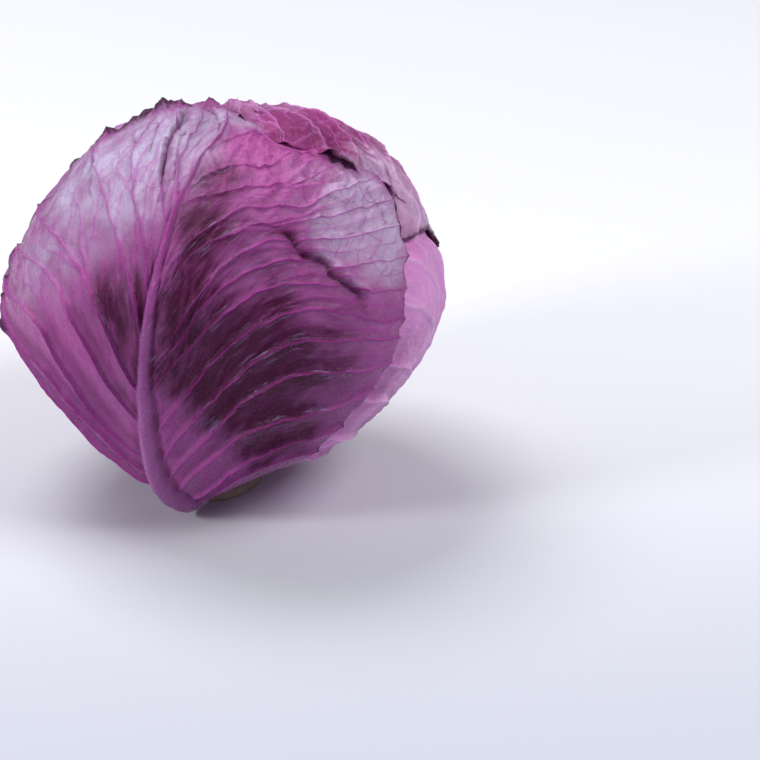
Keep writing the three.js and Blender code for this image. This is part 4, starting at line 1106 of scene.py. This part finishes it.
def stem_material():
    k = Nodes("stem_flesh")
    at = k.t.nodes.new("ShaderNodeTexCoord").outputs["Object"]
    long = k.vec("MULTIPLY", at, (1, 1, 0.18))
    grain, spots, broad = k.noise(long, 900.0, 4.0, 0.6), k.noise(at, 260.0, 4.0, 0.65), k.noise(at, 60.0, 3.0)
    ring, scar, out = k.attr("ring"), k.attr("scar"), k.attr("skin")
    # The stem's colours are duller and browner than fresh stem: partly painted shade, as it sits in the shadow under
    # the head.
    c = k.mix(k.span(broad, 0.35, 0.7), rgb("#b5a592"), rgb("#8f7c68"))
    c = k.mix(k.math("MULTIPLY", ring, 0.7), c, rgb("#a3977a"))
    c = k.mix(k.math("MULTIPLY", k.span(grain, 0.5, 0.75), 0.35), c, rgb("#b4a97f"))
    c = k.mix(k.math("MULTIPLY", out, k.span(spots, 0.3, 0.75, 0.25, 0.95)), c, rgb("#9c7f8e"))
    c = k.mix(k.math("MULTIPLY", scar, k.span(spots, 0.25, 0.6, 0.35, 1.0)), c, rgb("#6e5339"))
    k.put(k.bsdf.inputs["Base Color"], c)
    k.put(k.bsdf.inputs["Roughness"], k.math("MULTIPLY_ADD", spots, 0.25, 0.45))
    k.put(k.bsdf.inputs["Normal"], k.bump(k.math("MULTIPLY_ADD", grain, 0.7, k.math("MULTIPLY", spots, 0.5)), 0.5, 0.0005))
    return k.m


def inner_material(name, deep, pale, part):
    k = Nodes(name)
    at = k.t.nodes.new("ShaderNodeTexCoord").outputs["Object"]
    wob = k.vec("SCALE", k.vec("SUBTRACT", k.noise(at, 40.0, 2.0, out="Color"), (0.5, 0.5, 0.5)), scale=0.01)
    near = k.vec("ADD", at, wob)
    line = k.span(k.cells(near, 95.0), 0.0, 0.07, 1.0, 0.0)
    broad, fine = k.noise(at, 28.0, 4.0), k.noise(at, 320.0, 4.0, 0.6)
    low = k.t.nodes.new("ShaderNodeSeparateXYZ")
    k.put(low.inputs[0], at)
    c = k.mix(k.span(broad, 0.3, 0.7), rgb(deep), rgb(pale))
    c = k.mix(k.span(low.outputs[2], 0.055, 0.012), c, rgb("#d9cfd0"))
    c = k.mix(k.math("MULTIPLY", line, 0.5), c, rgb(part))
    c = k.mix(k.math("MULTIPLY", k.span(fine, 0.45, 0.8), 0.25), c, rgb(deep))
    k.put(k.bsdf.inputs["Base Color"], c)
    k.put(k.bsdf.inputs["Roughness"], k.math("MULTIPLY_ADD", fine, 0.25, 0.38))
    k.put(k.bsdf.inputs["Normal"], k.bump(k.math("MULTIPLY_ADD", line, 0.5, k.math("MULTIPLY", fine, 0.5)), 0.5, 0.0006))
    return k.m


# ------------------------------------------------------------------ the stem
def build_stem(material):
    prof = np.array([[0, 18.3], [0.35, 18.9], [1.2, 19.1], [3, 18.9], [5, 18.6], [8, 18.2], [12, 18], [24, 17.2], [38, 16], [52, 14.2], [64, 11.6], [74, 8], [81, 4], [83.2, 1.8], [84, 0.4]], float)
    segs = 120
    zz = np.concatenate([np.linspace(0, 1, 6, endpoint=False), np.linspace(1, 16, 34, endpoint=False), np.linspace(16, 84, 30)])
    rr = np.interp(zz, prof[:, 0], prof[:, 1])
    t = np.arange(segs) / segs * 2 * math.pi
    T, Z = np.meshgrid(t, zz)
    lobes = 1 + 0.025 * np.clip(1 - Z / 84, 0, 1) * np.cos(5 * T + 0.4)
    X, Y = np.cos(T), np.sin(T)
    rough = 0.22 * fbm(T * 9, Z / 5 + 40, 3, 3) + 0.35 * noise(X * 2.2 + 9, Y * 2.2, 8)
    fibre = 0.10 * np.sin(T * 46 + 1.5 * noise(T * 4, Z / 6, 12))
    scar = np.zeros_like(T)
    rng = np.random.default_rng(5)
    for _ in range(7):
        a, z0, w = rng.uniform(0, 2 * math.pi), rng.uniform(2.5, 6.5), rng.uniform(0.22, 0.4)
        da = (T - a + math.pi) % (2 * math.pi) - math.pi
        zc = z0 + 1.6 * (da / w) ** 2
        scar = np.maximum(scar, np.exp(-((Z - zc) / 0.5) ** 2) * (np.abs(da) < w))
    fade = smooth(0, 0.8, Z)
    R = np.interp(Z, zz, rr) * lobes + (rough + fibre - 0.5 * scar) * fade - 0.3
    V = [np.stack([R * X, R * Y, Z], -1).reshape(-1, 3)]
    skin = [smooth(1.0, 4.0, Z).ravel() * (0.6 + 0.4 * noise(T * 3, Z / 3, 6)).ravel()]
    scars, rings = [scar.ravel()], [np.zeros(T.size)]
    F = []
    nz = len(zz)
    P = lambda i, j: i * segs + (j % segs)
    for i in range(nz - 1):
        for j in range(segs):
            F.append((P(i, j), P(i, j + 1), P(i + 1, j + 1), P(i + 1, j)))
    n = nz * segs
    V.append(np.array([[0, 0, 84.0]]))
    skin.append([0.3]), scars.append([0.0]), rings.append([0.0])
    for j in range(segs):
        F.append((P(nz - 1, j), P(nz - 1, j + 1), n))
    n += 1
    # the cut face: a woody ring round paler pith, a little drier and browner towards the skin
    radii = np.linspace(1, 0, 26)[1:]
    prev = [P(0, j) for j in range(segs)]
    for f in radii[:-1]:
        r = R[0] * f
        ridge = np.exp(-((f - 0.78) / 0.05) ** 2) + 0.5 * np.exp(-((f - 0.62) / 0.03) ** 2)
        z = 0.28 * smooth(1.0, 0.7, f) + 0.35 * (1 - f) + 0.12 * noise(X[0] * f * 7, Y[0] * f * 7, 21) * (f < 0.95) - 0.12 * ridge
        V.append(np.stack([r * X[0], r * Y[0], np.maximum(z, 0.02) + 0 * r], -1))
        spokes = 0.5 + 0.5 * np.sin(t * 38 + 2 * noise(X[0] * 3, Y[0] * 3, 4))
        rings.append(np.clip(ridge * (0.45 + 0.55 * spokes), 0, 1))
        skin.append(np.full(segs, 0.0)), scars.append(np.full(segs, float(np.clip((f - 0.93) / 0.07, 0, 1)) * 0.8))
        cur = [n + j for j in range(segs)]
        for j in range(segs):
            F.append((prev[(j + 1) % segs], prev[j], cur[j], cur[(j + 1) % segs]))
        prev = cur
        n += segs
    V.append(np.array([[0, 0, 0.6]]))
    skin.append([0.0]), scars.append([0.0]), rings.append([0.0])
    for j in range(segs):
        F.append((prev[(j + 1) % segs], prev[j], n))
    me = bpy.data.meshes.new("stem_cut")
    me.from_pydata((np.vstack(V) / 1000).tolist(), [], F)
    me.polygons.foreach_set("use_smooth", np.ones(len(me.polygons), bool))
    for k, v in (("skin", skin), ("scar", scars), ("ring", rings)):
        at = me.attributes.new(k, "FLOAT", "POINT")
        at.data.foreach_set("value", np.concatenate([np.asarray(q, float).ravel() for q in v]).astype(np.float32))
    me.materials.append(material)
    ob = bpy.data.objects.new("stem_cut", me)
    bpy.context.scene.collection.objects.link(ob)
    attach(ob, "root")
    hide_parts("stem")
    return ob


# ------------------------------------------------------------------ put together

RIB_FRONT = (([0, 0.06, 0.12, 0.22, 0.42, 0.60, 0.75, 0.88, 1], [8.5, 7.5, 6.0, 4.3, 2.4, 1.25, 0.75, 0.5, 0.45]), ([0, 0.06, 0.12, 0.22, 0.42, 0.6, 0.75, 0.88, 1], [2.8, 5.2, 5.0, 4.2, 2.9, 1.7, 1.15, 0.8, 0.6]))
RIB_PLAIN = (([0, 0.10, 0.3, 0.6, 0.85, 1], [7.0, 5.0, 3.2, 1.6, 0.8, 0.5]), ([0, 0.08, 0.25, 0.6, 0.85, 1], [2.0, 3.4, 2.6, 1.3, 0.6, 0.3]))
front.fields((1.5, 0.6), (0.95, 0.5), RIB_FRONT[1], RIB_FRONT[0], cross=0.4, cross_step=10.0)
cape.fields((1.3, 0.5), (1.4, 0.65), RIB_PLAIN[1], RIB_PLAIN[0], cross=0.3, cross_step=12.0)
for lf, hv in ((left, 1.3), (back, 1.3), (under, 1.2)):
    lf.fields((hv, 0.45), (1.5, 0.6), RIB_PLAIN[1], RIB_PLAIN[0], cross=0.3, cross_step=14.0)
right.fields((1.4, 0.8), (1.9, 1.0), RIB_PLAIN[1], RIB_PLAIN[0], cross=0.25, cross_step=14.0)

skin_front = leaf_material("leaf_front")
skin_cape = leaf_material("leaf_back_right", mid="#84356f", pink="#a03f7c", dark="#4b1238", bloom="#cdb0d4", vein="#c06fb8", pale_vein="#dbb4da", rib="#b06aa8")
skin_side = leaf_material("leaf_side", mid="#843c7a", pink="#a04a8e", dark="#41102f", bloom="#b9a4c9")
skin_right = leaf_material("leaf_right", mid="#a85a9c", pink="#e58dd6", dark="#6a2560", bloom="#e3bce4", vein="#dfa3dc", pale_vein="#ecc6ea", rib="#d79ad2")
skin_stem = stem_material()


def pressed(fn, above):
    """Ribs and puckers lie flatter where another leaf covers this one."""
    def f(leaf, sd):
        c = sum((smooth(-5.0, 0.5, k) for k in covers(leaf, sd, above)), np.zeros(sd["x"].size))
        return fn(leaf, sd) * (1 - 0.88 * np.clip(c, 0, 1).reshape(sd["x"].shape))
    return f


F_, B_, L_, R_, K_ = "front_leaf", "back_right_leaf", "left_leaf", "right_leaf", "back_leaf"
build_leaf(front, [B_], pressed(relief_front, [B_]), looks_front, material=skin_front, node="wrapper_leaf_front")
build_leaf(cape, [], relief_cape, looks_cape, material=skin_cape, node="wrapper_leaf_back_right")
build_leaf(left, [F_, B_], pressed(relief_plain(101), [F_, B_]), looks_plain(111), material=skin_side, node="wrapper_leaf_left")
build_leaf(right, [F_, B_], pressed(relief_plain(121, 0.4, 0.05, 0.8), [F_, B_]), looks_right, material=skin_right, node="wrapper_leaf_right")
build_leaf(back, [F_, B_, L_, R_], pressed(relief_plain(131), [F_, B_, L_, R_]), looks_plain(141, 0.5, 0.3, 0.35), material=skin_side, node="wrapper_leaf_back")
build_leaf(under, [F_, B_, L_, K_], pressed(relief_plain(151), [F_, B_, L_, K_]), looks_plain(161, 0.6, 0.35, 0.3), material=skin_side, node="wrapper_leaf_left_under")
build_stem(skin_stem)

inner_a = inner_material("inner_leaf_outer", "#6f2f66", "#a65f9b", "#caa0c4")
inner_b = inner_material("inner_leaf_middle", "#8b4a82", "#bd8fb6", "#dcc3d8")
inner_c = inner_material("inner_leaf_heart", "#b796b4", "#dccbd8", "#eee2e8")
for name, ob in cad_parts.items():
    if name.startswith("inner_leaf") or name == "heart":
        k = 12 if name == "heart" else int(name[-2:])
        mat = inner_a if k <= 4 else inner_b if k <= 9 else inner_c
        if ob.material_slots:
            for s in ob.material_slots:
                s.material = mat
        else:
            ob.data.materials.append(mat)

# ------------------------------------------------------------------ floor, light and camera
fm = Nodes("floor_paper")
at = fm.t.nodes.new("ShaderNodeTexCoord").outputs["Object"]
across = fm.t.nodes.new("ShaderNodeSeparateXYZ")
fm.put(across.inputs[0], at)
paper = fm.mix(fm.noise(at, 3.0, 2.0), rgb("#e8e9f0"), rgb("#e6e7ee"))
# the paper turns darker towards the camera: painted falloff of the light
fm.put(fm.bsdf.inputs["Base Color"], fm.mix(fm.span(across.outputs[1], 0.16, -0.24), paper, rgb("#c2c5d1")))
fm.bsdf.inputs["Roughness"].default_value = 0.75
fm.bsdf.inputs["Specular IOR Level"].default_value = 0.2
bpy.ops.mesh.primitive_plane_add(size=12, location=(0, 0, 0))
floor = bpy.context.object
floor.name = "floor"
floor.data.materials.append(fm.m)

world = bpy.context.scene.world or bpy.data.worlds.new("studio")
bpy.context.scene.world = world
world.use_nodes = True
bg = next(n for n in world.node_tree.nodes if n.type == "BACKGROUND")
bg.inputs[0].default_value = (0.91, 0.90, 1.0, 1)
bg.inputs[1].default_value = 0.18


def area(name, at, aim, size, power, colour=(1, 1, 1)):
    l = bpy.data.lights.new(name, "AREA")
    l.shape, l.size, l.energy, l.color = "SQUARE", size, power, colour
    o = bpy.data.objects.new(name, l)
    o.location = at
    o.rotation_euler = (Vector(aim) - Vector(at)).to_track_quat("-Z", "Y").to_euler()
    bpy.context.scene.collection.objects.link(o)
    return o


area("softbox_top", (-0.6, 0.6, 1.85), (0.05, 0.0, 0.05), 1.1, 28.0)
area("softbox_left", (-1.35, -0.65, 0.8), (0.0, 0.0, 0.08), 0.34, 12.5)
area("softbox_right", (0.95, -0.5, 1.3), (0.0, 0.0, 0.1), 0.7, 15.0)

X, C = np.array([1.0, 0, 0]), CENTRE
cam_at = C + AXIS_N * 1400.0
aim = C + X * ((380 - 223) / 2.6) - AXIS_U * ((380 - 301) / 2.6)
px = 2.6 * np.linalg.norm(aim - cam_at)
cd = bpy.data.cameras.new("camera")
cd.sensor_width, cd.lens = 36.0, px * 36.0 / 760.0
cd.clip_start, cd.clip_end = 0.05, 50.0
cam = bpy.data.objects.new("camera", cd)
cam.location = cam_at / 1000
fwd = unit(aim - cam_at)
rgt = unit(np.cross(fwd, [0, 0, 1.0]))
up = np.cross(rgt, fwd)
cam.rotation_euler = Matrix([[rgt[i], up[i], -fwd[i]] for i in range(3)]).to_euler()
bpy.context.scene.collection.objects.link(cam)
bpy.context.scene.camera = cam
bpy.context.scene.view_settings.view_transform = "Standard"
